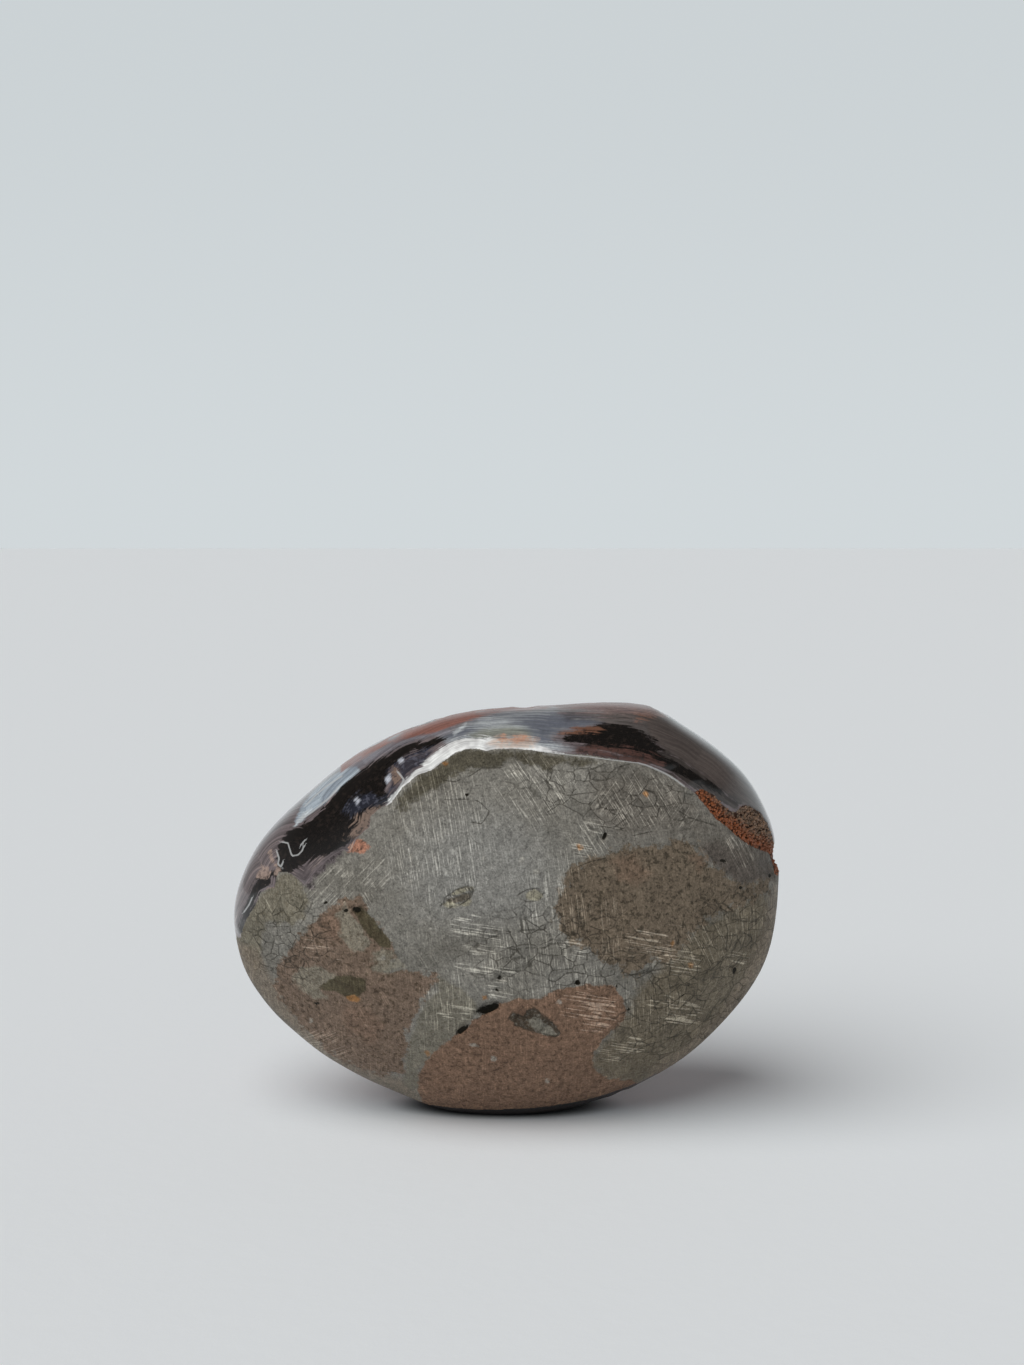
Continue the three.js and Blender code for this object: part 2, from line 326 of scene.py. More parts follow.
ROCK_PATCHES = (
    Patch(
        "olive_left",
        (
            ((282, 873), (292, 874), (303, 884), (308, 900), (304, 918), (292, 925), (275, 922),
             (265, 922), (262, 940), (262, 958), (255, 975), (240, 950), (236, 936), (250, 912),
             (262, 893), (273, 884)),
        ),
        (0.188, 0.170, 0.130), (0.130, 0.113, 0.080), softness=0.3, fray=0.9,
    ),
    Patch(
        "olive_top",
        (
            ((398, 798), (405, 790), (420, 777), (440, 765), (452, 755), (466, 750), (480, 750), (500, 751),
             (530, 752), (560, 756), (590, 758), (600, 762), (580, 767), (560, 765), (545, 771), (530, 764),
             (515, 758), (500, 766), (485, 769), (465, 770), (450, 776), (436, 790), (420, 797), (408, 808),
             (400, 814), (394, 808)),
        ),
        (0.080, 0.070, 0.047), (0.052, 0.045, 0.030), softness=0.35, fray=1.4, strength=0.85,
    ),
    Patch(
        "plum_notch",
        (
            ((296, 872), (306, 860), (318, 855), (331, 850), (344, 846), (342, 855), (330, 864), (320, 875),
             (310, 888), (302, 886)),
        ),
        (0.120, 0.100, 0.105), (0.035, 0.028, 0.030), softness=0.25, fray=1.2,
    ),
    Patch(
        "plum_right",
        (
            ((700, 846), (714, 839), (735, 846), (752, 849), (766, 852), (773, 866), (776, 880), (760, 882),
             (742, 885), (726, 876), (709, 862)),
        ),
        (0.104, 0.084, 0.072), (0.074, 0.060, 0.051), softness=0.6, fray=1.0, strength=0.85,
    ),
    Patch(
        "low_right",
        (
            ((628, 1012), (640, 985), (664, 962), (700, 925), (735, 905), (766, 890), (775, 925),
             (768, 955), (745, 998), (716, 1032), (680, 1062), (640, 1085), (606, 1082), (590, 1064),
             (598, 1046)),
        ),
        (0.162, 0.130, 0.086), (0.106, 0.083, 0.053), softness=1.0, fray=1.6, strength=0.8,
    ),
    Patch(
        "upper_right",
        (
            ((600, 775), (640, 768), (680, 784), (712, 815), (745, 838), (768, 852), (760, 870), (715, 842),
             (660, 838), (620, 845), (590, 815)),
        ),
        (0.150, 0.133, 0.112), (0.105, 0.090, 0.074), softness=2.0, fray=1.6, strength=0.75,
    ),
    # The smoother bevels along the lower edges; their lighter tone is partly their own and partly a painted
    # reflection of the floor.
    Patch(
        "smooth_rim",
        (
            ((775, 880), (781, 900), (778, 940), (760, 985), (735, 1018), (700, 1050), (665, 1075),
             (645, 1085), (650, 1070), (690, 1042), (722, 1010), (745, 975), (762, 935), (768, 905)),
            ((232, 940), (246, 975), (275, 1012), (310, 1045), (350, 1072), (400, 1094), (430, 1108),
             (405, 1080), (362, 1068), (330, 1048), (300, 1022), (275, 985), (258, 950)),
        ),
        (0.235, 0.190, 0.145), (0.180, 0.145, 0.108), softness=0.5, fray=0.4, strength=0.7,
    ),
    Patch(
        "wedge",
        (
            ((436, 976), (438, 990), (428, 1002), (419, 1014), (412, 1036), (406, 1056), (404, 1085),
             (430, 1097), (421, 1084), (418, 1071), (432, 1055), (446, 1042), (468, 1024), (478, 1010),
             (470, 995), (455, 985)),
        ),
        (0.188, 0.172, 0.135), (0.140, 0.124, 0.092), softness=0.25, fray=0.7, strength=0.8,
    ),
    Patch(
        "brown_left",
        (
            ((275, 984), (278, 965), (290, 950), (302, 934), (316, 920), (333, 903), (346, 899),
             (356, 898), (364, 902), (369, 913), (378, 926), (391, 943), (396, 958), (384, 972),
             (396, 971), (411, 973), (436, 975), (433, 984), (424, 997), (417, 1013), (408, 1033),
             (406, 1056), (405, 1074), (380, 1074), (359, 1069), (341, 1061), (322, 1046), (304, 1028),
             (289, 1010), (280, 998)),
        ),
        (0.190, 0.134, 0.098), (0.080, 0.054, 0.034), softness=0.2, fray=1.7,
    ),
    Patch(
        "brown_right",
        (
            ((556, 915), (563, 880), (572, 868), (597, 857), (619, 850), (648, 844), (670, 841), (689, 841),
             (699, 847), (707, 858), (718, 869), (733, 878), (742, 886), (755, 883), (768, 879), (769, 892),
             (748, 903), (722, 912), (700, 925), (685, 945), (672, 960), (650, 962), (630, 978), (618, 967),
             (604, 961), (590, 948), (570, 941), (559, 930)),
        ),
        (0.165, 0.127, 0.090), (0.052, 0.040, 0.026), softness=0.3, fray=2.6,
    ),
    Patch(
        "brown_foot",
        (
            ((418, 1088), (419, 1071), (432, 1054), (443, 1044), (457, 1034), (470, 1024), (484, 1012),
             (499, 1003), (515, 999), (540, 998), (552, 992), (570, 987), (584, 985), (604, 985),
             (616, 988), (622, 996), (627, 1011), (622, 1021), (612, 1031), (603, 1041), (594, 1051),
             (592, 1066), (604, 1078), (629, 1080), (650, 1088), (600, 1112), (540, 1130), (460, 1130),
             (425, 1112)),
        ),
        (0.214, 0.130, 0.086), (0.096, 0.056, 0.035), softness=0.12, fray=0.7,
    ),
    Patch(
        "rusty",
        (
            ((322, 915), (335, 908), (343, 918), (345, 935), (338, 945), (325, 938), (316, 926)),
            ((612, 862), (625, 855), (640, 858), (650, 872), (640, 884), (622, 880)),
            ((690, 858), (700, 850), (708, 862), (700, 872)),
            ((480, 1056), (500, 1050), (516, 1056), (505, 1066), (485, 1064)),
            ((535, 1038), (552, 1034), (558, 1044), (545, 1050)),
            ((345, 1005), (368, 1008), (384, 1025), (375, 1050), (355, 1035), (340, 1018)),
        ),
        (0.225, 0.135, 0.092), (0.110, 0.072, 0.048), softness=0.6, fray=1.6, strength=0.35,
    ),
    Patch(
        "pale_in_brown",
        (
            ((336, 912), (345, 905), (352, 915), (362, 930), (372, 943), (366, 950), (352, 950),
             (342, 942)),
            ((292, 976), (302, 966), (318, 966), (338, 976), (336, 986), (318, 988), (330, 996),
             (316, 1000), (302, 992)),
            ((372, 952), (382, 949), (394, 953), (393, 962), (383, 967), (374, 961)),
            ((380, 962), (398, 958), (404, 966), (388, 974), (366, 970)),
        ),
        (0.250, 0.230, 0.180), (0.150, 0.128, 0.096), softness=0.25, fray=1.2, strength=0.8,
    ),
    Patch(
        "olive_holes",
        (
            ((352, 910), (360, 906), (368, 912), (380, 928), (391, 942), (390, 948), (380, 946), (370, 938),
             (360, 922)),
            ((328, 980), (336, 976), (352, 975), (366, 979), (366, 990), (358, 997), (344, 996), (336, 992),
             (318, 989)),
        ),
        (0.092, 0.078, 0.046), (0.062, 0.050, 0.030), softness=0.12, fray=0.5, grain=Grain.CLOUDY,
    ),
    Patch(
        "pocket",
        (POCKET_OUTLINE,),
        (0.062, 0.048, 0.034), (0.180, 0.165, 0.140), softness=0.1, fray=0.3,
    ),
    Patch(
        "pocket_crystal",
        (
            ((527, 1020), (534, 1017), (541, 1019), (550, 1027), (556, 1034), (548, 1036), (538, 1030),
             (531, 1027)),
        ),
        (0.215, 0.200, 0.165), (0.130, 0.118, 0.092), softness=0.12, fray=0.4,
    ),
    Patch(
        "lens_crack",
        (
            ((446, 901), (455, 897), (466, 893), (472, 893), (470, 899), (460, 903), (448, 905)),
        ),
        (0.130, 0.110, 0.085), (0.085, 0.072, 0.055), softness=0.15, fray=0.4, grain=Grain.CLOUDY,
    ),
    Patch(
        "lens_lip",
        (
            ((442, 904), (448, 901), (458, 904), (468, 900), (474, 896), (470, 905), (458, 908),
             (447, 908)),
            ((450, 893), (462, 887), (474, 886), (474, 890), (464, 892), (454, 896)),
            ((524, 893), (536, 889), (543, 895), (541, 900), (532, 901), (526, 898)),
        ),
        (0.330, 0.305, 0.225), (0.220, 0.200, 0.150), softness=0.12, fray=0.4, strength=0.85,
    ),
    Patch(
        "orange_bit",
        (
            ((345, 849), (352, 841), (359, 839), (367, 842), (370, 847), (364, 851), (356, 852),
             (348, 853)),
        ),
        (0.430, 0.200, 0.130), (0.150, 0.070, 0.048), softness=0.15, fray=0.8, strength=0.9,
    ),
    Patch(
        "ochre_dots",
        (
            ((346, 997), (353, 995), (360, 998), (358, 1002), (350, 1001)),
            ((424, 1052), (428, 1050), (431, 1054), (428, 1058)),
            ((670, 942), (673, 941), (675, 944), (672, 947)),
            ((688, 964), (692, 963), (694, 966), (690, 969)),
            ((575, 844), (580, 844), (584, 848), (578, 851)),
            ((642, 793), (646, 791), (649, 794), (646, 798)),
            ((442, 763), (447, 761), (449, 764), (445, 766)),
            ((482, 996), (486, 995), (487, 999), (483, 1000)),
        ),
        (0.330, 0.160, 0.055), (0.230, 0.115, 0.045), softness=0.15, fray=0.35, strength=0.85,
    ),
    Patch(
        "white_dots",
        (
            ((409, 855), (412, 854), (414, 856), (412, 859), (409, 858)),
            ((428, 926), (431, 925), (433, 928), (430, 930)),
            ((441, 934), (445, 934), (445, 938), (441, 938)),
            ((409, 881), (412, 880), (413, 883), (410, 884)),
            ((310, 1018), (313, 1018), (313, 1023), (310, 1022)),
            ((634, 833), (637, 833), (638, 837), (634, 838)),
            ((518, 859), (524, 857), (525, 860), (519, 862)),
            ((532, 870), (538, 868), (540, 873), (534, 874)),
            ((481, 857), (486, 854), (486, 858), (482, 860)),
            ((557, 1000), (562, 1001), (561, 1004), (557, 1003)),
            ((468, 1044), (474, 1043), (478, 1046), (472, 1047)),
            ((492, 1056), (497, 1058), (496, 1062), (491, 1060)),
            ((545, 1079), (549, 1079), (549, 1083), (545, 1082)),
            ((376, 958), (384, 956), (386, 959), (379, 961)),
            ((427, 992), (434, 990), (437, 993), (430, 996)),
            ((600, 813), (604, 812), (604, 816), (601, 816)),
            ((612, 797), (615, 797), (615, 800), (612, 800)),
        ),
        (0.420, 0.400, 0.350), (0.320, 0.300, 0.260), softness=0.12, fray=0.5, strength=0.7,
    ),
)

CAP_PATCHES = (
    Patch(
        "pink_edge",
        (
            ((236, 900), (240, 878), (250, 855), (262, 838), (282, 815), (300, 795), (322, 775), (345, 758),
             (330, 756), (290, 790), (250, 840), (228, 890)),
            ((330, 768), (352, 752), (378, 738), (410, 722), (380, 728), (340, 750)),
        ),
        (0.185, 0.115, 0.105), (0.100, 0.078, 0.080), softness=0.6, fray=0.6, strength=0.75,
        grain=Grain.STREAKED,
    ),
    Patch(
        "shoulder",
        (
            ((590, 716), (612, 711), (640, 712), (652, 706), (690, 722), (725, 748), (752, 775), (775, 812),
             (785, 850), (772, 835), (748, 806), (728, 797), (712, 787), (690, 768), (664, 750), (645, 736),
             (625, 727), (605, 723)),
        ),
        (0.062, 0.049, 0.044), (0.094, 0.076, 0.069), softness=0.4, fray=0.8, grain=Grain.STREAKED,
    ),
    Patch(
        "dim_line",
        (
            ((655, 748), (670, 752), (690, 764), (708, 778), (728, 793), (742, 801), (738, 808),
             (724, 806), (708, 795), (694, 790), (680, 780), (664, 769), (640, 763), (620, 758),
             (610, 752), (632, 748)),
        ),
        (0.018, 0.014, 0.012), (0.062, 0.052, 0.047), softness=0.2, fray=0.8, grain=Grain.STREAKED,
    ),
    Patch(
        "smoke",
        (
            ((440, 738), (455, 728), (468, 721), (482, 716), (500, 712), (522, 710), (548, 708), (580, 708),
             (602, 711), (600, 722), (585, 727), (560, 731), (548, 738), (575, 750), (560, 753), (540, 751),
             (500, 748), (470, 744), (448, 745)),
        ),
        (0.420, 0.450, 0.470), (0.100, 0.110, 0.140), softness=0.6, fray=0.6, grain=Grain.STREAKED,
    ),
    Patch(
        "grey_brown_top",
        (
            ((560, 712), (575, 710), (600, 713), (620, 713), (645, 718), (650, 738), (630, 732), (606, 724),
             (586, 722), (566, 722)),
        ),
        (0.120, 0.105, 0.100), (0.070, 0.060, 0.058), softness=0.4, fray=0.6, grain=Grain.STREAKED,
    ),
    Patch(
        "green_smoke",
        (
            ((468, 735), (484, 729), (505, 726), (524, 727), (533, 732), (528, 738), (510, 736), (490, 739),
             (474, 740)),
        ),
        (0.270, 0.280, 0.225), (0.200, 0.205, 0.170), softness=0.5, fray=0.6, strength=0.8,
        grain=Grain.STREAKED,
    ),
    Patch(
        "dark_blue",
        (
            ((496, 716), (545, 714), (565, 714), (590, 718), (602, 724), (585, 728), (563, 731), (549, 737),
             (543, 743), (537, 738), (528, 729), (512, 722)),
            ((448, 738), (452, 731), (462, 727), (474, 722), (480, 724), (468, 731), (458, 738)),
        ),
        (0.034, 0.037, 0.060), (0.130, 0.140, 0.172), softness=0.8, fray=1.2, strength=0.78,
        grain=Grain.STREAKED,
    ),
    Patch(
        "grey_band",
        (
            ((330, 784), (345, 768), (360, 757), (380, 748), (400, 740), (420, 735), (440, 730), (456, 725),
             (452, 732), (436, 736), (415, 740), (396, 747), (378, 757), (360, 768), (345, 780)),
        ),
        (0.235, 0.232, 0.262), (0.150, 0.140, 0.160), softness=0.35, fray=0.5, grain=Grain.STREAKED,
    ),
    Patch(
        "blue_lens",
        (
            ((299, 812), (303, 803), (310, 795), (320, 785), (333, 776), (344, 769), (356, 767), (361, 771),
             (352, 778), (345, 784), (340, 790), (334, 794), (329, 799), (324, 804), (317, 809), (308, 815),
             (301, 822), (295, 827), (296, 818)),
        ),
        (0.430, 0.500, 0.560), (0.190, 0.225, 0.275), softness=0.18, fray=0.35, grain=Grain.STREAKED,
    ),
    Patch(
        "white_tip",
        (
            ((304, 812), (312, 808), (306, 816), (300, 823), (293, 828), (297, 821)),
            ((362, 752), (376, 744), (386, 739), (384, 743), (372, 749), (364, 755)),
            ((453, 732), (460, 727), (466, 722), (468, 725), (460, 731), (454, 735)),
        ),
        (0.600, 0.640, 0.660), (0.420, 0.440, 0.460), softness=0.2, fray=0.4, strength=0.85,
        grain=Grain.STREAKED,
    ),
    Patch(
        "black",
        (
            ((279, 846), (283, 838), (292, 829), (302, 824), (311, 820), (318, 814), (326, 805), (334, 797),
             (342, 787), (352, 779), (361, 771), (374, 763), (388, 756), (398, 750), (408, 745), (422, 741),
             (436, 738), (447, 739), (440, 743), (428, 748), (416, 751), (405, 757), (396, 764), (388, 772),
             (389, 780), (385, 790), (390, 799), (384, 807), (376, 812), (370, 818), (367, 827), (357, 836),
             (350, 841), (342, 847), (330, 853), (316, 857), (306, 863), (296, 868), (290, 873), (280, 875),
             (273, 878), (268, 890), (262, 893), (257, 900), (252, 913), (247, 925), (243, 936), (239, 932),
             (243, 915), (247, 900), (252, 888), (258, 879), (266, 872), (275, 868), (277, 857)),
            ((585, 728), (600, 724), (616, 723), (630, 727), (642, 733), (655, 741), (664, 750), (656, 753),
             (662, 757), (672, 760), (682, 766), (694, 773), (708, 780), (720, 788), (728, 794), (718, 793),
             (704, 786), (692, 780), (680, 774), (668, 769), (656, 765), (642, 760), (624, 754), (604, 750),
             (584, 746), (566, 742), (562, 736), (574, 732)),
        ),
        (0.0035, 0.0025, 0.0020), (0.016, 0.011, 0.009), softness=0.12, fray=0.8, strength=0.99,
    ),
    Patch(
        "blue_speckle",
        (
            ((343, 811), (350, 802), (358, 796), (371, 795), (380, 799), (387, 796), (390, 786), (388, 776),
             (395, 764), (408, 755), (424, 751), (434, 749), (428, 760), (413, 771), (402, 782), (395, 795),
             (388, 804), (375, 806), (362, 812), (352, 814)),
        ),
        (0.018, 0.020, 0.032), (0.080, 0.085, 0.115), softness=0.3, fray=1.2, strength=0.8,
    ),
    Patch(
        "brown_speckle",
        (
            ((357, 817), (368, 809), (384, 805), (393, 806), (388, 812), (378, 819), (371, 827), (362, 832),
             (352, 838), (345, 838), (352, 828)),
            ((393, 768), (399, 770), (402, 780), (396, 788), (391, 780)),
        ),
        (0.230, 0.160, 0.125), (0.055, 0.040, 0.034), softness=0.2, fray=0.9, strength=0.85,
    ),
    Patch(
        "beige_bits",
        (
            ((256, 875), (261, 866), (268, 866), (272, 872), (268, 880), (262, 879)),
            ((262, 893), (266, 886), (275, 887), (270, 894)),
            ((269, 850), (272, 852), (275, 862), (281, 866), (278, 874), (271, 876), (275, 868),
             (270, 860)),
        ),
        (0.330, 0.245, 0.205), (0.120, 0.085, 0.070), softness=0.12, fray=0.6, strength=0.85,
    ),
    # Painted highlights: tiny bright blue-white glints on the black.
    Patch(
        "star",
        (
            ((354, 800), (357, 797), (360, 800), (357, 804)),
            ((385, 778), (390, 774), (391, 780), (387, 784)),
            ((398, 760), (402, 757), (404, 761), (400, 764)),
        ),
        (0.520, 0.540, 0.600), (0.350, 0.370, 0.420), softness=0.2, fray=0.3, strength=0.9,
    ),
    Patch(
        "red_brown_low",
        (
            ((568, 752), (578, 747), (594, 746), (612, 748), (632, 751), (650, 756), (664, 763), (655, 767),
             (640, 764), (620, 760), (600, 757), (585, 755)),
        ),
        (0.092, 0.046, 0.038), (0.028, 0.018, 0.016), softness=0.3, fray=1.4, strength=0.85,
    ),
    Patch(
        "rust_line",
        (
            ((555, 738), (561, 731), (575, 728), (592, 726), (604, 729), (598, 732), (584, 731),
             (570, 733)),
            ((634, 713), (640, 710), (650, 712), (655, 716), (648, 719), (638, 718)),
        ),
        (0.200, 0.095, 0.060), (0.050, 0.028, 0.022), softness=0.2, fray=1.0, strength=0.7,
    ),
    Patch(
        "white_crust",
        (
            ((386, 806), (392, 796), (399, 787), (409, 778), (420, 768), (430, 757), (440, 748), (452, 741),
             (464, 738), (480, 738), (496, 740), (508, 743), (524, 744), (540, 745), (554, 750), (568, 754),
             (578, 757), (570, 759), (543, 757), (514, 754), (495, 754), (478, 754), (466, 754), (455, 759),
             (440, 769), (433, 775), (417, 781), (402, 794), (390, 808)),
        ),
        (0.880, 0.890, 0.880), (0.580, 0.575, 0.575), softness=0.2, fray=0.7, strength=0.95,
        grain=Grain.CLOUDY,
    ),
    Patch(
        "cream",
        (
            ((490, 744), (498, 738), (512, 738), (522, 735), (538, 741), (532, 747), (515, 749),
             (500, 749)),
        ),
        (0.500, 0.370, 0.300), (0.440, 0.420, 0.390), softness=0.4, fray=0.7, strength=0.75,
    ),
    Patch(
        "orange",
        (
            ((512, 741), (515, 737), (518, 739), (522, 736), (527, 738), (528, 741), (521, 742),
             (516, 743)),
            ((500, 739), (504, 736), (506, 740), (502, 742)),
            ((350, 847), (357, 841), (364, 843), (369, 846), (366, 850), (358, 852), (351, 852)),
        ),
        (0.470, 0.250, 0.170), (0.420, 0.310, 0.240), softness=0.2, fray=0.7, strength=0.8,
    ),
    Patch(
        "red_crest",
        (
            ((340, 760), (366, 740), (388, 724), (415, 710), (439, 702), (470, 695), (507, 690), (543, 688),
             (575, 686), (605, 690), (592, 700), (575, 704), (555, 707), (540, 709), (522, 710), (508, 711),
             (495, 713), (482, 716), (470, 720), (456, 725), (445, 729), (430, 734), (415, 736), (402, 739),
             (388, 744), (370, 753), (350, 766), (341, 772)),
        ),
        (0.285, 0.130, 0.103), (0.215, 0.092, 0.071), softness=0.2, fray=0.35, grain=Grain.STREAKED,
    ),
    Patch(
        "pink_crest",
        (
            ((560, 700), (575, 686), (615, 684), (650, 688), (662, 706), (654, 713), (640, 712), (622, 711),
             (600, 711), (580, 709), (562, 708)),
        ),
        (0.330, 0.235, 0.218), (0.235, 0.160, 0.150), softness=0.9, fray=1.4, strength=0.85,
        grain=Grain.STREAKED,
    ),
)

CRACKS = (
    Line(
        ((718, 903), (724, 914), (732, 921), (736, 919), (741, 921), (750, 922), (760, 918), (764, 908)),
        1.0,
    ),
    Line(((620, 964), (624, 976), (640, 974), (655, 970), (668, 968), (672, 957)), 0.9),
    Line(((655, 998), (666, 990), (678, 984), (690, 986), (700, 990))),
    Line(((699, 976), (710, 971), (720, 962), (726, 950), (728, 930), (722, 914))),
    Line(((736, 944), (744, 932), (752, 938), (750, 950), (746, 956)), 0.7),
    Line(((498, 930), (512, 932), (526, 930), (544, 930), (552, 924), (556, 914)), 0.8),
    Line(((500, 946), (514, 950), (530, 948), (545, 948), (552, 943), (562, 944)), 1.0),
    Line(((630, 764), (616, 768), (608, 776), (606, 788), (612, 798), (606, 808)), 0.9),
    Line(((645, 790), (658, 793), (665, 798), (674, 808), (690, 818), (704, 822), (716, 826)), 0.8),
    Line(((600, 826), (614, 828), (624, 820), (634, 816)), 0.8),
    Line(((616, 826), (632, 836), (650, 832), (668, 824), (690, 818)), 0.6),
    Line(((560, 802), (575, 790), (586, 780), (590, 770), (604, 764)), 0.6),
    Line(((446, 800), (470, 799), (480, 802), (490, 812), (482, 824), (470, 822)), 0.7),
    Line(((438, 764), (442, 780), (455, 782), (470, 776), (482, 768), (500, 768)), 0.6),
    Line(((530, 760), (536, 772), (545, 780), (556, 790), (560, 804), (548, 812)), 0.6),
    Line(((620, 1060), (632, 1052), (650, 1044), (666, 1040), (684, 1032)), 0.6),
    Line(((628, 1012), (640, 1020), (655, 1024), (668, 1020), (680, 1022)), 0.7),
    Line(((650, 962), (648, 976), (656, 990), (654, 1004), (660, 1018)), 0.6),
    Line(((676, 985), (680, 998), (676, 1010)), 0.6),
    Line(((696, 930), (704, 944), (700, 960)), 0.6),
    Line(((672, 925), (680, 935), (676, 950)), 0.6),
    Line(((265, 926), (280, 927), (300, 926), (306, 915)), 0.6),
    Line(((575, 868), (590, 862), (606, 858)), 0.6),
    Line(POCKET_OUTLINE + POCKET_OUTLINE[:1], 1.1),
    Line(
        ((442, 905), (446, 897), (456, 890), (468, 886), (474, 889), (471, 897), (462, 904), (450, 908)),
        0.9,
    ),
    Line(((446, 903), (456, 898), (468, 893)), 1.1),
    Line(((516, 896), (526, 890), (538, 888), (543, 893), (540, 900), (528, 902), (517, 898)), 0.8),
)

VEINS = (
    Line(((282, 842), (288, 843), (290, 850), (292, 856), (298, 855), (302, 851), (304, 846)), 0.7),
    Line(((305, 840), (301, 845)), 0.7),
    Line(((277, 852), (279, 858), (278, 864), (281, 867), (283, 862)), 0.8),
    Line(((244, 912), (249, 905), (252, 898)), 0.7),
    Line(((638, 763), (646, 765), (653, 768), (660, 771), (668, 775), (676, 780), (684, 786)), 0.8),
    Line(((545, 752), (560, 754), (590, 757), (612, 760), (638, 763)), 0.4),
    Line(((398, 772), (404, 780), (398, 790), (391, 800)), 0.9),
    Line(((303, 818), (312, 812), (322, 804), (332, 795), (340, 786)), 0.8),
    Line(((305, 806), (316, 795), (328, 785), (342, 776)), 0.7),
)

SCRATCHES = (
    Scratches(Mark.FLAT_STROKES, fall=9.0, pitch=0.42, length=3.2, bold=1.6, fray=0.8, edge=(0.05, 0.35)),
    Scratches(Mark.SLANTED_STROKES, fall=60.0, pitch=0.36, length=3.0, bold=0.75, fray=0.6, edge=(0.1, 0.5)),
    Scratches(Mark.RISING_STROKES, fall=132.0, pitch=0.38, length=2.6, bold=0.6, fray=0.6, edge=(0.1, 0.5)),
    Scratches(Mark.STEEP_STROKES, fall=83.0, pitch=0.30, length=2.4, bold=0.48, fray=0.6, edge=(0.05, 0.5)),
)


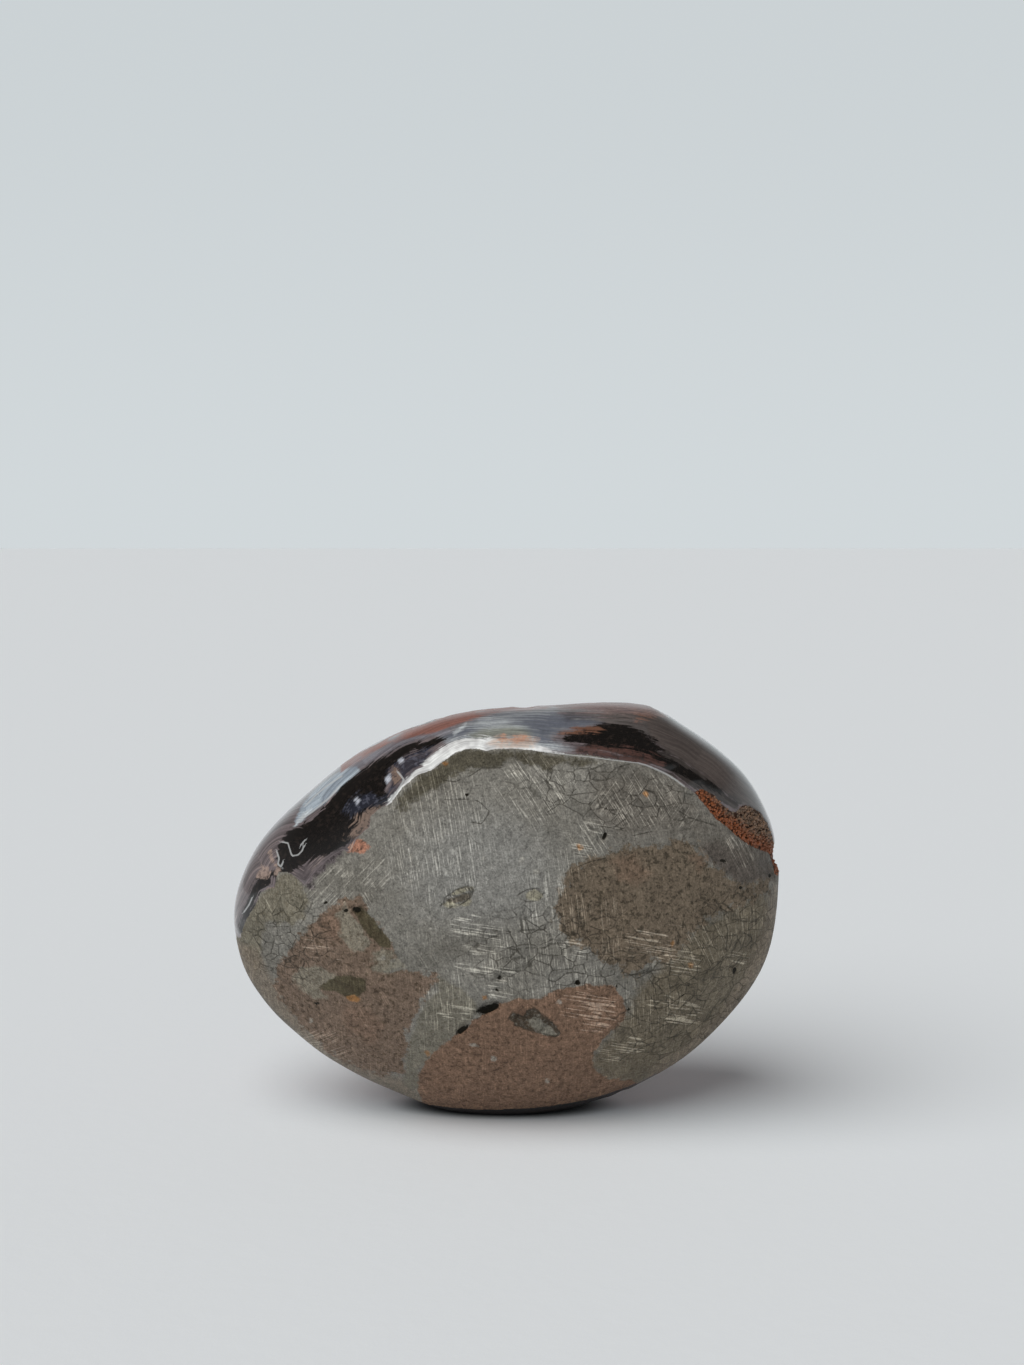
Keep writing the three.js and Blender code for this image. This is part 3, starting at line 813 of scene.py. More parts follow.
@dataclass(frozen=True)
class Markings:
    """Where the front's other markings lie, as the camera sees them, in its pixels."""

    contact: Points = (
        (240.9, 936.4), (245.8, 920.6), (255.5, 904.8), (260.3, 892.7), (268.0, 888.5), (274.8, 887.9),
        (276.0, 878.0), (278.5, 872.0), (288.0, 872.0), (298.0, 878.0), (305.0, 885.5), (314.8, 872.0),
        (324.0, 862.5), (334.0, 855.0), (343.0, 850.0), (350.0, 852.5), (357.0, 838.0), (369.4, 827.0),
        (370.6, 816.0), (380.0, 808.0), (391.0, 803.0), (402.0, 788.0), (417.0, 775.0), (433.0, 769.5),
        (440.0, 763.5), (455.0, 753.0), (466.0, 749.0), (478.0, 748.8), (486.0, 751.0), (495.0, 749.0),
        (514.6, 748.8), (532.0, 750.0), (543.0, 752.0), (560.5, 753.7), (589.0, 755.0), (612.0, 759.0),
        (637.0, 763.0), (653.5, 768.6), (672.0, 776.0), (685.0, 786.0), (694.0, 792.6), (700.0, 799.0),
        (713.0, 814.0), (727.5, 825.0), (742.0, 836.0), (753.0, 845.0), (759.0, 849.5), (768.0, 852.0),
        (772.0, 857.5), (775.0, 867.0),
    )
    hidden_right: Points = ((2.0, -4.2), (-12.0, -2.6), (-25.0, -2.4), (-36.0, -3.6))
    contact_below: Points = (
        (655.0, 1074.0), (640.0, 1082.0), (620.0, 1089.5), (600.0, 1096.0), (580.0, 1101.0), (550.0, 1106.0),
        (520.0, 1109.0), (480.0, 1109.5), (450.0, 1107.5), (430.0, 1104.5),
    )
    hidden_left: Points = ((-126.0, -3.0), (-140.0, -2.4), (-155.0, -2.6), (-167.0, -3.6))
    outside_right: Points = ((790, 880), (790, 960), (760, 1010), (728, 1048), (692, 1074), (665, 1086))
    outside_left: Points = (
        (424, 1114), (395, 1102), (355, 1084), (318, 1064), (283, 1037), (248, 1002), (226, 962), (226, 938),
    )
    seam: Points = (
        (694, 792), (702, 789), (714, 795), (722, 804), (730, 811), (736, 812), (743, 805), (750, 806),
        (760, 812), (767, 822), (773, 838), (777, 855), (779, 870), (778, 877), (775, 874), (773, 866),
        (769, 853), (763, 851), (755, 848), (746, 843), (737, 836), (726, 826), (715, 818), (706, 806),
        (699, 798),
    )
    seam_low_side: Points = (
        (697, 797), (706, 807), (715, 819), (726, 828), (746, 845), (764, 853), (772, 868),
    )
    pits: tuple[Pit, ...] = (
        Pit(Blob((488.5, 1008.5), (14.0, 5.0), 21), 0.45),
        Pit(Blob((462, 1030), (9.5, 3.0), 38), 0.25),
        Pit(Blob((500, 977.5), (6.0, 4.2), -20), 0.15, 0.5),
        Pit(Blob((497.5, 990.5), (3.2, 3.2), 0), 0.15, 0.5),
        Pit(Blob((604.5, 836), (5.5, 2.6), 65), 0.3),
        Pit(Blob((577.5, 983), (3.2, 3.0), 0), 0.2),
        Pit(Blob((617, 987), (2.4, 2.2), 0), 0.12),
        Pit(Blob((735, 971), (4.4, 2.4), 80), 0.2),
        Pit(Blob((346, 910.5), (2.6, 2.4), 0), 0.15),
        Pit(Blob((357, 910), (5.5, 3.4), -15), 0.2),
        Pit(Blob((326, 902), (3.2, 1.6), 15), 0.1),
        Pit(Blob((398.5, 914), (2.2, 2.2), 0), 0.1),
        Pit(Blob((629, 1009), (3.0, 1.6), 35), 0.1),
        Pit(Blob((473, 789.5), (2.2, 1.8), 0), 0.1),
        Pit(Blob((467, 795), (2.2, 1.4), 0), 0.08),
        Pit(Blob((503, 827), (2.2, 1.8), -30), 0.08),
        Pit(Blob((722.5, 861), (2.0, 1.8), 0), 0.1),
        Pit(Blob((770, 875.5), (1.8, 2.8), 0), 0.1),
        Pit(Blob((742, 888), (1.8, 3.0), 0), 0.1),
        Pit(Blob((317, 1004), (3.0, 2.4), 0), 0.1),
        Pit(Blob((657, 981), (1.8, 1.6), 0), 0.08),
        Pit(Blob((703, 981.5), (1.8, 1.6), 0), 0.08),
        Pit(Blob((683, 995), (2.0, 1.6), 0), 0.08),
    )
    flat_strokes: tuple[Blob, ...] = (
        Blob((476, 929), (32, 15), -9), Blob((484, 946), (24, 12), -9), Blob((486, 968), (36, 9), -8),
        Blob((570, 950), (19, 11), -8), Blob((650, 944), (30, 17), -12), Blob((684, 964), (19, 17), -5),
        Blob((603, 828), (22, 9), -15), Blob((582, 848), (12, 11), -5), Blob((676, 1010), (32, 16), -12),
        Blob((628, 1044), (20, 12), -10), Blob((588, 1010), (36, 24), -10), Blob((458, 1012), (24, 11), -5),
        Blob((738, 958), (14, 8), 0), Blob((500, 990), (16, 12), -4), Blob((608, 1056), (14, 9), -15),
        Blob((322, 952), (26, 10), -30),
    )
    steep_strokes: tuple[Blob, ...] = (
        Blob((440, 810), (60, 50), 0), Blob((530, 960), (60, 50), 0), Blob((560, 900), (40, 60), 0),
        Blob((440, 860), (60, 60), 0), Blob((450, 1000), (40, 40), 0), Blob((590, 975), (30, 14), 0),
        Blob((650, 1005), (40, 34), 0), Blob((610, 930), (16, 40), 0), Blob((740, 925), (30, 26), 0),
    )
    slanted_strokes: tuple[Blob, ...] = (
        Blob((534, 790), (48, 44), 0), Blob((640, 800), (50, 34), 0), Blob((740, 850), (22, 22), 0),
        Blob((590, 838), (24, 26), 0), Blob((370, 900), (14, 11), 0), Blob((270, 902), (13, 12), 0),
        Blob((705, 945), (30, 26), 0),
    )
    rising_strokes: tuple[Blob, ...] = (
        Blob((330, 886), (34, 26), 0), Blob((375, 872), (20, 26), 0), Blob((620, 800), (36, 24), 0),
        Blob((680, 815), (26, 16), 0), Blob((310, 1050), (50, 30), 0),
    )
    cells: tuple[Blob, ...] = (
        Blob((690, 1000), (120, 85), 20), Blob((735, 925), (66, 50), 0), Blob((560, 950), (130, 60), 0),
        Blob((610, 795), (120, 40), -8), Blob((290, 940), (60, 60), 0),
    )
    # The painted sheen, a lighter patch that stands in for a reflection of the light.
    sheen: tuple[Blob, ...] = (Blob((480, 870), (120, 90), 0),)

    def rock_outline(self) -> Points:
        """Returns the outline of all the rock that the camera sees, whose sides lie outside the stone."""
        return self.contact + self.outside_right + self.contact_below + self.outside_left


class Nodes:
    """Adds nodes to one material's tree."""

    def __init__(self, tree: bpy.types.NodeTree) -> None:
        """Keeps the tree.

        Args:
            tree: The node tree to add to.
        """
        self.tree = tree

    def add(self, kind: str, settings: dict | None = None, **inputs: object) -> bpy.types.Node:
        """Adds a node.

        Args:
            kind: The node's type.
            settings: Properties, set before the sockets.
            inputs: Values or links by socket name, with _ for a space, or s0, s1 and so on by place.

        Returns:
            The new node.
        """
        node = self.tree.nodes.new(kind)
        for name, setting in (settings or {}).items():
            setattr(node, name, setting)
        for name, value in inputs.items():
            by_place = name[0] == "s" and name[1:].isdigit()
            socket = node.inputs[int(name[1:])] if by_place else node.inputs[name.replace("_", " ")]
            if isinstance(value, Value):
                value = value.socket
            if isinstance(value, bpy.types.NodeSocket):
                self.tree.links.new(value, socket)
            else:
                socket.default_value = value
        return node

    def math(self, operation: str, *values: object) -> "Value":
        """Returns the result of a Math node on one to three values."""
        inputs = {f"s{place}": value for place, value in enumerate(values)}
        return Value(self, self.add("ShaderNodeMath", {"operation": operation}, **inputs).outputs[0])

    def number(self, name: str) -> "Value":
        """Returns one of the numbers that the mesh carries."""
        settings = {"attribute_name": name, "attribute_type": "GEOMETRY"}
        return Value(self, self.add("ShaderNodeAttribute", settings).outputs["Fac"])

    def mark(self, mark: Mark) -> "Value":
        """Returns one of the mesh's named marks."""
        return self.number(mark.value)

    def blend(self, share: object, below: object, above: object) -> bpy.types.NodeSocket:
        """Returns the colour below turned into the colour above by a share from 0 to 1."""
        settings = {"data_type": "RGBA", "clamp_factor": True}
        return self.add("ShaderNodeMix", settings, s0=share, s6=rgba(below), s7=rgba(above)).outputs[2]

    def shade(self, colour: object, amount: object) -> bpy.types.NodeSocket:
        """Returns the colour multiplied by an amount that may vary."""
        return self.add("ShaderNodeVectorMath", {"operation": "SCALE"}, s0=colour, Scale=amount).outputs[0]

    def along(self, place: object, direction: Triple) -> "Value":
        """Returns how far along a direction a place is."""
        dot = self.add("ShaderNodeVectorMath", {"operation": "DOT_PRODUCT"}, s0=place, s1=direction)
        return Value(self, dot.outputs[1])

    def rise(self, place: object) -> "Value":
        """Returns how high up a place is, in millimetres."""
        return self.along(place, (0.0, 0.0, 1 / MM))

    def scaled(self, place: object, scale: Triple) -> bpy.types.NodeSocket:
        """Returns coordinates stretched along each axis."""
        return self.add("ShaderNodeMapping", {"vector_type": "POINT"}, Vector=place, Scale=scale).outputs[0]

    def cloud(self, place: object, scale: float, detail: float = 3.0) -> "Value":
        """Returns a cloudy number about 0.5, mostly between 0.3 and 0.7."""
        waves = {"Scale": scale, "Detail": detail, "Roughness": CLOUD_ROUGHNESS}
        return Value(self, self.add("ShaderNodeTexNoise", None, Vector=place, **waves).outputs[0])


def rgba(colour: object) -> object:
    """Returns a plain colour with its alpha, and a link as it is."""
    return (*colour, 1.0) if isinstance(colour, tuple) else colour


class Value:
    """A number in a material that varies over the surface, for use in Python arithmetic."""

    def __init__(self, nodes: Nodes, socket: bpy.types.NodeSocket) -> None:
        """Keeps the output that gives the number.

        Args:
            nodes: The tree's builder.
            socket: The output.
        """
        self.nodes = nodes
        self.socket = socket

    def __add__(self, other: object) -> "Value":
        """Returns the sum."""
        return self.nodes.math("ADD", self, other)

    __radd__ = __add__

    def __sub__(self, other: object) -> "Value":
        """Returns the difference."""
        return self.nodes.math("SUBTRACT", self, other)

    def __rsub__(self, other: object) -> "Value":
        """Returns the difference from another number."""
        return self.nodes.math("SUBTRACT", other, self)

    def __mul__(self, other: object) -> "Value":
        """Returns the product."""
        return self.nodes.math("MULTIPLY", self, other)

    __rmul__ = __mul__

    def __truediv__(self, other: object) -> "Value":
        """Returns the quotient."""
        return self.nodes.math("DIVIDE", self, other)

    def absolute(self) -> "Value":
        """Returns the number without its sign."""
        return self.nodes.math("ABSOLUTE", self)

    def clamp(self) -> "Value":
        """Returns the number held between 0 and 1."""
        return Value(self.nodes, self.nodes.add("ShaderNodeClamp", None, s0=self).outputs[0])

    def smooth(self, low: float, high: float) -> "Value":
        """Returns 0 below low and 1 above high, with a smooth rise between them."""
        settings = {"interpolation_type": "SMOOTHSTEP"}
        node = self.nodes.add("ShaderNodeMapRange", settings, s0=self, s1=low, s2=high, s3=0.0, s4=1.0)
        return Value(self.nodes, node.outputs[0])

    def peak(self, middle: float, half_width: float) -> "Value":
        """Returns 1 at the middle, falling smoothly to 0 half a width away."""
        return 1 - (self - middle).absolute().smooth(0.0, half_width)

    def wave(self, pitch: float) -> "Value":
        """Returns 0 to 1 and back over each pitch."""
        return 0.5 + 0.5 * self.nodes.math("SINE", self * (2 * math.pi / pitch))


def new_material(name: str) -> tuple[bpy.types.Material, Nodes, bpy.types.NodeSocket]:
    """Makes a material with an empty tree.

    Args:
        name: The material's name.

    Returns:
        The material, the builder of its tree, and the piece's own coordinates in metres.
    """
    material = bpy.data.materials.new(name)
    material.use_nodes = True
    material.node_tree.nodes.clear()
    nodes = Nodes(material.node_tree)
    return material, nodes, nodes.add("ShaderNodeTexCoord").outputs["Object"]


@dataclass(frozen=True)
class StoneFinish:
    """The stone's colours, as linear light, and how its surfaces shine.

    A scale is in waves per metre. An edge is the span of a mark over which one look gives way to the next.
    """

    rock: Colour = (0.226, 0.215, 0.190)
    rock_dark: Colour = (0.138, 0.127, 0.106)
    # Painted sheen: the lighter colour that stands in for a reflection of the light on the front.
    sheen: Colour = (0.262, 0.257, 0.240)
    stroke: Colour = (0.460, 0.440, 0.380)
    crack: Colour = (0.032, 0.028, 0.021)
    pit: Colour = (0.014, 0.012, 0.008)
    vein: Colour = (0.520, 0.530, 0.530)
    lavender: Colour = (0.165, 0.135, 0.140)
    lavender_dark: Colour = (0.080, 0.065, 0.068)
    red: Colour = (0.215, 0.070, 0.048)
    red_deep: Colour = (0.105, 0.028, 0.020)
    red_light: Colour = (0.340, 0.140, 0.095)
    cream: Colour = (0.470, 0.370, 0.320)
    smoke: Colour = (0.165, 0.172, 0.190)
    black: Colour = (0.006, 0.0045, 0.004)
    blue_white: Colour = (0.420, 0.480, 0.530)
    seam_orange: Colour = (0.260, 0.085, 0.035)
    seam_tan: Colour = (0.200, 0.150, 0.110)
    seam_dark: Colour = (0.040, 0.018, 0.010)
    rock_roughness: float = 0.60
    glass_roughness: float = 0.32
    coat_roughness: float = 0.07
    refraction: float = 1.54
    mirror: float = 0.12
    coarse_scale: float = 900.0
    fine_scale: float = 3200.0
    cell_scale: float = 640.0
    streak_stretch: Triple = (0.16, 0.16, 2.4)
    thin_stretch: Triple = (0.3, 0.3, 6.0)
    front_edge: Span = (-0.30, -0.08)
    crest_edge: Span = (-0.20, -0.04)
    contact_edge: Span = (-0.05, 0.05)
    seam_edge: Span = (-0.08, 0.08)
    pit_edge: Span = (0.24, 0.52)
    joint_edge: Span = (0.010, 0.060)
    line_reach: Span = (2.0, 4.0)
    # Painted shade: the rock is darkened over these heights at its foot, where the floor's contact shadow
    # falls.
    painted_shade_height: Span = (0.1, 1.3)
    painted_foot_shade: float = 0.25
    underside: Span = (1.5, 6.0)
    low_band: Span = (13.0, 19.0)
    bump_strength: float = 0.6
    bump_height: float = 0.00012

    def make(self) -> bpy.types.Material:
        """Makes the stone's material.

        Returns:
            The material.
        """
        material, nodes, place = new_material("banded_stone")
        settings = {"attribute_name": Mark.FLOW.value, "attribute_type": "GEOMETRY"}
        flow = nodes.add("ShaderNodeAttribute", settings).outputs["Vector"]
        coarse = nodes.cloud(place, self.coarse_scale, 4.0) - 0.5
        fine = nodes.cloud(place, self.fine_scale) - 0.5
        streak = nodes.cloud(nodes.scaled(flow, self.streak_stretch), 1.0, 4.0) - 0.5
        in_front = (nodes.mark(Mark.SEEN) + 0.12 * coarse).smooth(*self.front_edge)
        on_cap = (nodes.mark(Mark.SEEN) + 0.5 * streak + 0.3 * coarse).smooth(*self.crest_edge)
        contact = nodes.mark(Mark.CONTACT)
        cap = (contact + 0.30 * fine + 0.15 * coarse).smooth(*self.contact_edge)
        rock, height, rock_shine = self.rock_look(nodes, place, in_front, coarse, fine)
        chalcedony = self.cap_look(nodes, place, flow, on_cap, coarse, fine, streak, contact)
        colour = nodes.blend(cap, rock, chalcedony)
        vein = self.on_lines(nodes, Mark.VEIN_SIDE, Mark.VEIN_NEAR, 1.2 * fine, (0.5, 1.5))
        colour = nodes.blend(0.65 * vein * in_front, colour, self.vein)
        seam = (nodes.mark(Mark.SEAM) + 0.30 * fine).smooth(*self.seam_edge) * in_front
        colour = nodes.blend(seam, colour, self.seam_look(nodes, place, fine))
        pit = (nodes.mark(Mark.PIT) + 0.9 * fine).smooth(*self.pit_edge)
        colour = nodes.blend(pit, colour, self.pit)
        reds = nodes.math("MAXIMUM", nodes.number("red_crest"), nodes.number("pink_crest"))
        crest = reds.smooth(-0.2, 0.3)
        below = self.below(nodes, place)
        gloss = cap * (1 - (seam + pit).clamp()) * (1 - 0.5 * crest * on_cap) * (1 - 0.8 * below)
        dull = 1 - gloss
        roughness = self.glass_roughness * gloss + self.rock_roughness * dull
        roughness = roughness + dull * (0.25 * (nodes.cloud(place, 1500.0) - 0.5) - rock_shine)
        height = dull * height + 1.6 * seam * nodes.cloud(place, 3500.0, 2.0)
        bump = nodes.add(
            "ShaderNodeBump", None, Strength=self.bump_strength, Distance=self.bump_height, Height=height,
        )
        shader = nodes.add(
            "ShaderNodeBsdfPrincipled", None, Base_Color=colour, Roughness=roughness, IOR=self.refraction,
            Specular_IOR_Level=self.mirror, Coat_Weight=gloss, Coat_Roughness=self.coat_roughness,
            Coat_IOR=self.refraction, Normal=bump.outputs[0],
        )
        nodes.add("ShaderNodeOutputMaterial", None, Surface=shader.outputs[0])
        return material

    def on_lines(self, nodes: Nodes, side: Mark, near: Mark, fray: Value, edge: Span) -> Value:
        """Finds the thin lines of one kind.

        Args:
            nodes: The tree's builder.
            side: The mark that says how many half widths beside a line a place is.
            near: The mark that says how many pixels away a line is.
            fray: Noise about 0 that frays their edges.
            edge: Where a line ends, in half widths.

        Returns:
            1 on a line and 0 beside it.
        """
        close = 1 - nodes.mark(near).smooth(*self.line_reach)
        return close * (1 - (nodes.mark(side).absolute() + fray).smooth(*edge))

    def strokes(self, nodes: Nodes, place: object, group: Scratches) -> Value:
        """Makes short parallel sanding strokes.

        Args:
            nodes: The tree's builder.
            place: Coordinates in metres.
            group: How the strokes lie.

        Returns:
            1 on a stroke and 0 beside it.
        """
        turn = math.radians(group.fall)
        across = nodes.along(place, (math.sin(turn) / MM, 0.25 / MM, math.cos(turn) / MM))
        along = nodes.along(place, (math.cos(turn) / MM, 0.0, -math.sin(turn) / MM))
        gate = self.stretched(nodes, along / group.length, across / (1.7 * group.pitch), 2.0)
        lines = self.stretched(nodes, along / (1.6 * group.length), across / (0.5 * group.pitch), 1.0)
        return lines.smooth(0.50, 0.64) * gate.smooth(0.38, 0.52)

    def stretched(self, nodes: Nodes, along: Value, across: Value, detail: float) -> Value:
        """Makes a noise that is stretched along the strokes.

        Args:
            nodes: The tree's builder.
            along: Place along the strokes, in noise waves.
            across: Place across them, in noise waves.
            detail: How many finer noises it has on top.

        Returns:
            A number about 0.5.
        """
        where = nodes.add("ShaderNodeCombineXYZ", None, s0=along, s1=across)
        return nodes.cloud(where.outputs[0], 1.0, detail)

    def scratched(self, nodes: Nodes, place: object, coarse: Value, cell_kind: Value) -> tuple[Value, Value]:
        """Makes all the sanding scratches.

        Args:
            nodes: The tree's builder.
            place: Coordinates in metres.
            coarse: Coarse noise about 0.
            cell_kind: A number from 0 to 1 for each cell.

        Returns:
            1 on a bold scratch and 0 beside it, and the same for the faint ones of each cell.
        """
        lines = {group.mark: self.strokes(nodes, place, group) for group in SCRATCHES}
        bold = 0.0
        for group in SCRATCHES:
            where = (nodes.mark(group.mark) + group.fray * coarse).smooth(*group.edge)
            bold = bold + group.bold * lines[group.mark] * where
        turned = cell_kind.smooth(0.2, 0.35)
        faint = turned * lines[Mark.STEEP_STROKES] + (1 - turned) * lines[Mark.SLANTED_STROKES]
        return bold.clamp(), faint

    def cracks(
        self, nodes: Nodes, place: object, bent: object, coarse: Value, fine: Value,
    ) -> tuple[Value, Value]:
        """Draws the joints between the rock's cells, and its cracks.

        Args:
            nodes: The tree's builder.
            place: Coordinates in metres.
            bent: The same, bent.
            coarse: Coarse noise about 0.
            fine: Fine noise about 0.

        Returns:
            1 in a joint or crack and 0 beside it, and how far the rock is in cells.
        """
        settings = {"feature": "DISTANCE_TO_EDGE"}
        edges = nodes.add("ShaderNodeTexVoronoi", settings, Vector=bent, Scale=self.cell_scale)
        broken = nodes.cloud(place, 700.0, 2.0)
        joint = 1 - (Value(nodes, edges.outputs["Distance"]) + 0.04 * fine).smooth(*self.joint_edge)
        celled = (nodes.mark(Mark.CELLS) * 1.2 + 0.8 * coarse).smooth(0.05, 0.8)
        joint = joint * (0.22 + 0.78 * celled) * broken.smooth(0.34, 0.52)
        crack = self.on_lines(nodes, Mark.CRACK_SIDE, Mark.CRACK_NEAR, 2.5 * fine, (0.3, 1.4))
        return (0.85 * joint + 0.8 * crack * broken.smooth(0.40, 0.50)).clamp(), celled

    def paint(
        self, nodes: Nodes, place: object, patches: tuple[Patch, ...], colour: object, edge: Value,
        fine: Value, streak: Value, in_front: Value,
    ) -> object:
        """Lays patches over a colour, one after another.

        Args:
            nodes: The tree's builder.
            place: Coordinates in metres.
            patches: The patches.
            colour: What they lie on.
            edge: Noise about 0 that frays their edges.
            fine: Fine noise about 0.
            streak: Noise about 0 that runs along the rim.
            in_front: 1 on the front face.

        Returns:
            The colour with the patches.
        """
        grains = {
            Grain.SPECKLED: nodes.cloud(place, 1900.0, 3.0).smooth(0.50, 0.66),
            Grain.STREAKED: (0.5 + streak).smooth(0.36, 0.64),
            Grain.CLOUDY: nodes.cloud(place, 800.0, 4.0).smooth(0.42, 0.66),
        }
        for patch in patches:
            inside = nodes.number(patch.name) + patch.fray * (edge + 0.45 * fine)
            share = inside.smooth(-patch.softness, patch.softness)
            tone = nodes.blend(0.9 * grains[patch.grain], patch.colour, patch.second)
            colour = nodes.blend(patch.strength * share * in_front, colour, tone)
        return colour

    def rock_look(
        self, nodes: Nodes, place: object, in_front: Value, coarse: Value, fine: Value
    ) -> tuple[object, Value, Value]:
        """Colours the ground host rock.

        Args:
            nodes: The tree's builder.
            place: Coordinates in metres.
            in_front: 1 on the front face.
            coarse: Coarse noise about 0.
            fine: Fine noise about 0.

        Returns:
            The colour, the height of its scratches and cracks, and how much smoother than dull it is.
        """
        broad = nodes.cloud(place, 170.0)
        mottle = nodes.cloud(place, 1400.0, 4.0)
        speck = nodes.cloud(place, 4600.0, 2.0)
        bent = self.warped(nodes, place)
        cells = nodes.add("ShaderNodeTexVoronoi", {"feature": "F1"}, Vector=bent, Scale=self.cell_scale)
        split = nodes.add("ShaderNodeSeparateColor", None, s0=cells.outputs["Color"])
        cell_tone = Value(nodes, split.outputs[0]) - 0.5
        cell_kind = Value(nodes, split.outputs[1])
        colour = nodes.blend(broad.smooth(0.38, 0.68) * 0.55, self.rock, self.rock_dark)
        # Painted sheen: a lighter patch in the middle of the front stands in for a reflection of the light;
        # the same mask also makes the rock smoother there.
        sheen = (nodes.mark(Mark.SHEEN) + 0.5 * coarse).smooth(0.05, 0.9)
        colour = nodes.blend(0.75 * sheen, colour, self.sheen)
        colour = self.paint(nodes, place, ROCK_PATCHES, colour, 1.6 * coarse, fine, coarse, in_front)
        crack, celled = self.cracks(nodes, place, bent, coarse, fine)
        bold, faint = self.scratched(nodes, place, coarse, cell_kind)
        colour = nodes.shade(nodes.blend(0.16 * bold, colour, self.stroke), 1.0 + bold)
        colour = nodes.shade(colour, 1.0 + 0.30 * cell_tone * (0.3 + 0.7 * celled) + 0.30 * (faint - 0.25))
        colour = nodes.blend(0.75 * crack, colour, self.crack)
        colour = nodes.shade(colour, 1.0 + 1.3 * (mottle - 0.5) + 1.7 * (speck - 0.5))
        # Painted shade: darkens the rock towards its foot, where the contact shadow falls.
        lit = nodes.rise(place).smooth(*self.painted_shade_height)
        colour = nodes.shade(colour, self.painted_foot_shade + (1 - self.painted_foot_shade) * lit)
        height = 0.7 * speck + 0.9 * mottle + 0.5 * cell_tone + 0.4 * faint + 0.5 * bold - 1.1 * crack
        return colour, height, 0.16 * sheen

    def warped(self, nodes: Nodes, place: object) -> object:
        """Bends coordinates by a slow noise, so that cells aren't even.

        Args:
            nodes: The tree's builder.
            place: Coordinates in metres.

        Returns:
            The bent coordinates.
        """
        reach = 1.6 * MM
        middle = (0.5, 0.5, 0.5)
        cloud = nodes.add("ShaderNodeTexNoise", None, Vector=place, Scale=300.0, Detail=2.0)
        bend = nodes.add("ShaderNodeVectorMath", {"operation": "SUBTRACT"}, s0=cloud.outputs[1], s1=middle)
        bend = nodes.shade(bend.outputs[0], reach)
        bent = nodes.add("ShaderNodeVectorMath", {"operation": "ADD"}, s0=place, s1=bend)
        return nodes.scaled(bent.outputs[0], (0.85, 1.0, 1.15))

    def seam_look(self, nodes: Nodes, place: object, fine: Value) -> object:
        """Colours the floor between the small crystals of the open seam.

        Args:
            nodes: The tree's builder.
            place: Coordinates in metres.
            fine: Fine noise about 0.

        Returns:
            The colour.
        """
        grains = nodes.add("ShaderNodeTexVoronoi", {"feature": "F1"}, Vector=place, Scale=2600.0)
        tone = Value(nodes, grains.outputs["Distance"])
        upper = (nodes.mark(Mark.SEAM_RISE) + 1.4 * fine).smooth(0.9, 1.8)
        colour = nodes.blend(upper, self.seam_orange, self.seam_tan)
        return nodes.blend(tone.smooth(0.25, 0.7), colour, self.seam_dark)

    def below(self, nodes: Nodes, place: object) -> Value:
        """Returns 1 under the stone's foot and 0 above it."""
        return 1 - nodes.rise(place).smooth(*self.underside)

    def cap_look(
        self, nodes: Nodes, place: object, flow: object, in_front: Value, coarse: Value, fine: Value,
        streak: Value, contact: Value,
    ) -> object:
        """Colours the polished chalcedony.

        Args:
            nodes: The tree's builder.
            place: Coordinates in metres.
            flow: Coordinates that run along the rim and away from it, in millimetres.
            in_front: 1 on the front face.
            coarse: Coarse noise about 0.
            fine: Fine noise about 0.
            streak: Noise about 0 that runs along the rim.
            contact: Distance from the rock, in millimetres.

        Returns:
            The colour.
        """
        thin = nodes.cloud(nodes.scaled(flow, self.thin_stretch), 1.0, 3.0)
        front = nodes.blend((0.5 + streak).smooth(0.36, 0.64), self.lavender, self.lavender_dark)
        front = nodes.blend(0.35 * thin.smooth(0.55, 0.7), front, self.cream)
        low = 1 - nodes.rise(place).smooth(*self.low_band)
        front = nodes.blend(0.95 * low, front, self.black)
        behind = self.back_look(nodes, place, coarse, thin, contact)
        colour = nodes.blend(in_front, behind, front)
        edge = coarse + 2.4 * streak + 1.2 * (thin - 0.5)
        colour = self.paint(nodes, place, CAP_PATCHES, colour, edge, fine, streak, in_front)
        return nodes.shade(colour, 1.0 + 1.3 * in_front * (thin - 0.5) + 0.6 * fine)

    def back_look(self, nodes: Nodes, place: object, coarse: Value, thin: Value, contact: Value) -> object:
        """Colours the polished back, from its rim of crust and black to its red middle.

        Args:
            nodes: The tree's builder.
            place: Coordinates in metres.
            coarse: Coarse noise about 0.
            thin: Thin streaks along the rim.
            contact: Distance from the rock, in millimetres.

        Returns:
            The colour.
        """
        middle_x, middle_z = -5.0, 22.0
        squash, outermost = 0.62, 24.0
        wander = nodes.cloud(place, 60.0, 3.0) - 0.5
        ripple = nodes.cloud(place, 260.0, 2.0) - 0.5
        across = nodes.along(place, (1 / MM, 0.0, 0.0)) - middle_x
        rise = nodes.rise(place) - middle_z
        inward = outermost - nodes.math("SQRT", squash * across * across + rise * rise)
        deep = contact.smooth(3.0, 10.0)
        depth = inward * deep + contact * (1 - deep) + 8.0 * wander + ripple
        lines = (depth + 0.25 * coarse).wave(0.62)
        broad = (depth + 0.5 * coarse).wave(2.3)
        patchy = nodes.cloud(place, 95.0, 4.0)
        red = nodes.blend(patchy.smooth(0.38, 0.62), self.red, self.red_light)
        colour = nodes.blend(0.45 * lines * broad, red, self.red_deep)
        bands = (
            (5.6, 1.8, 0.55, self.red_deep),
            (7.4, 0.35, 0.6, self.cream),
            (10.0, 1.5, 0.85, nodes.blend(lines, self.blue_white, self.lavender)),
            (13.2, 0.3, 0.7, self.cream),
            (16.4, 1.1, 0.7, nodes.blend(lines, self.smoke, self.red_light)),
            (18.0, 0.3, 0.6, self.blue_white),
        )
        for middle, half_width, share, tone in bands:
            colour = nodes.blend(share * depth.peak(middle, half_width), colour, tone)
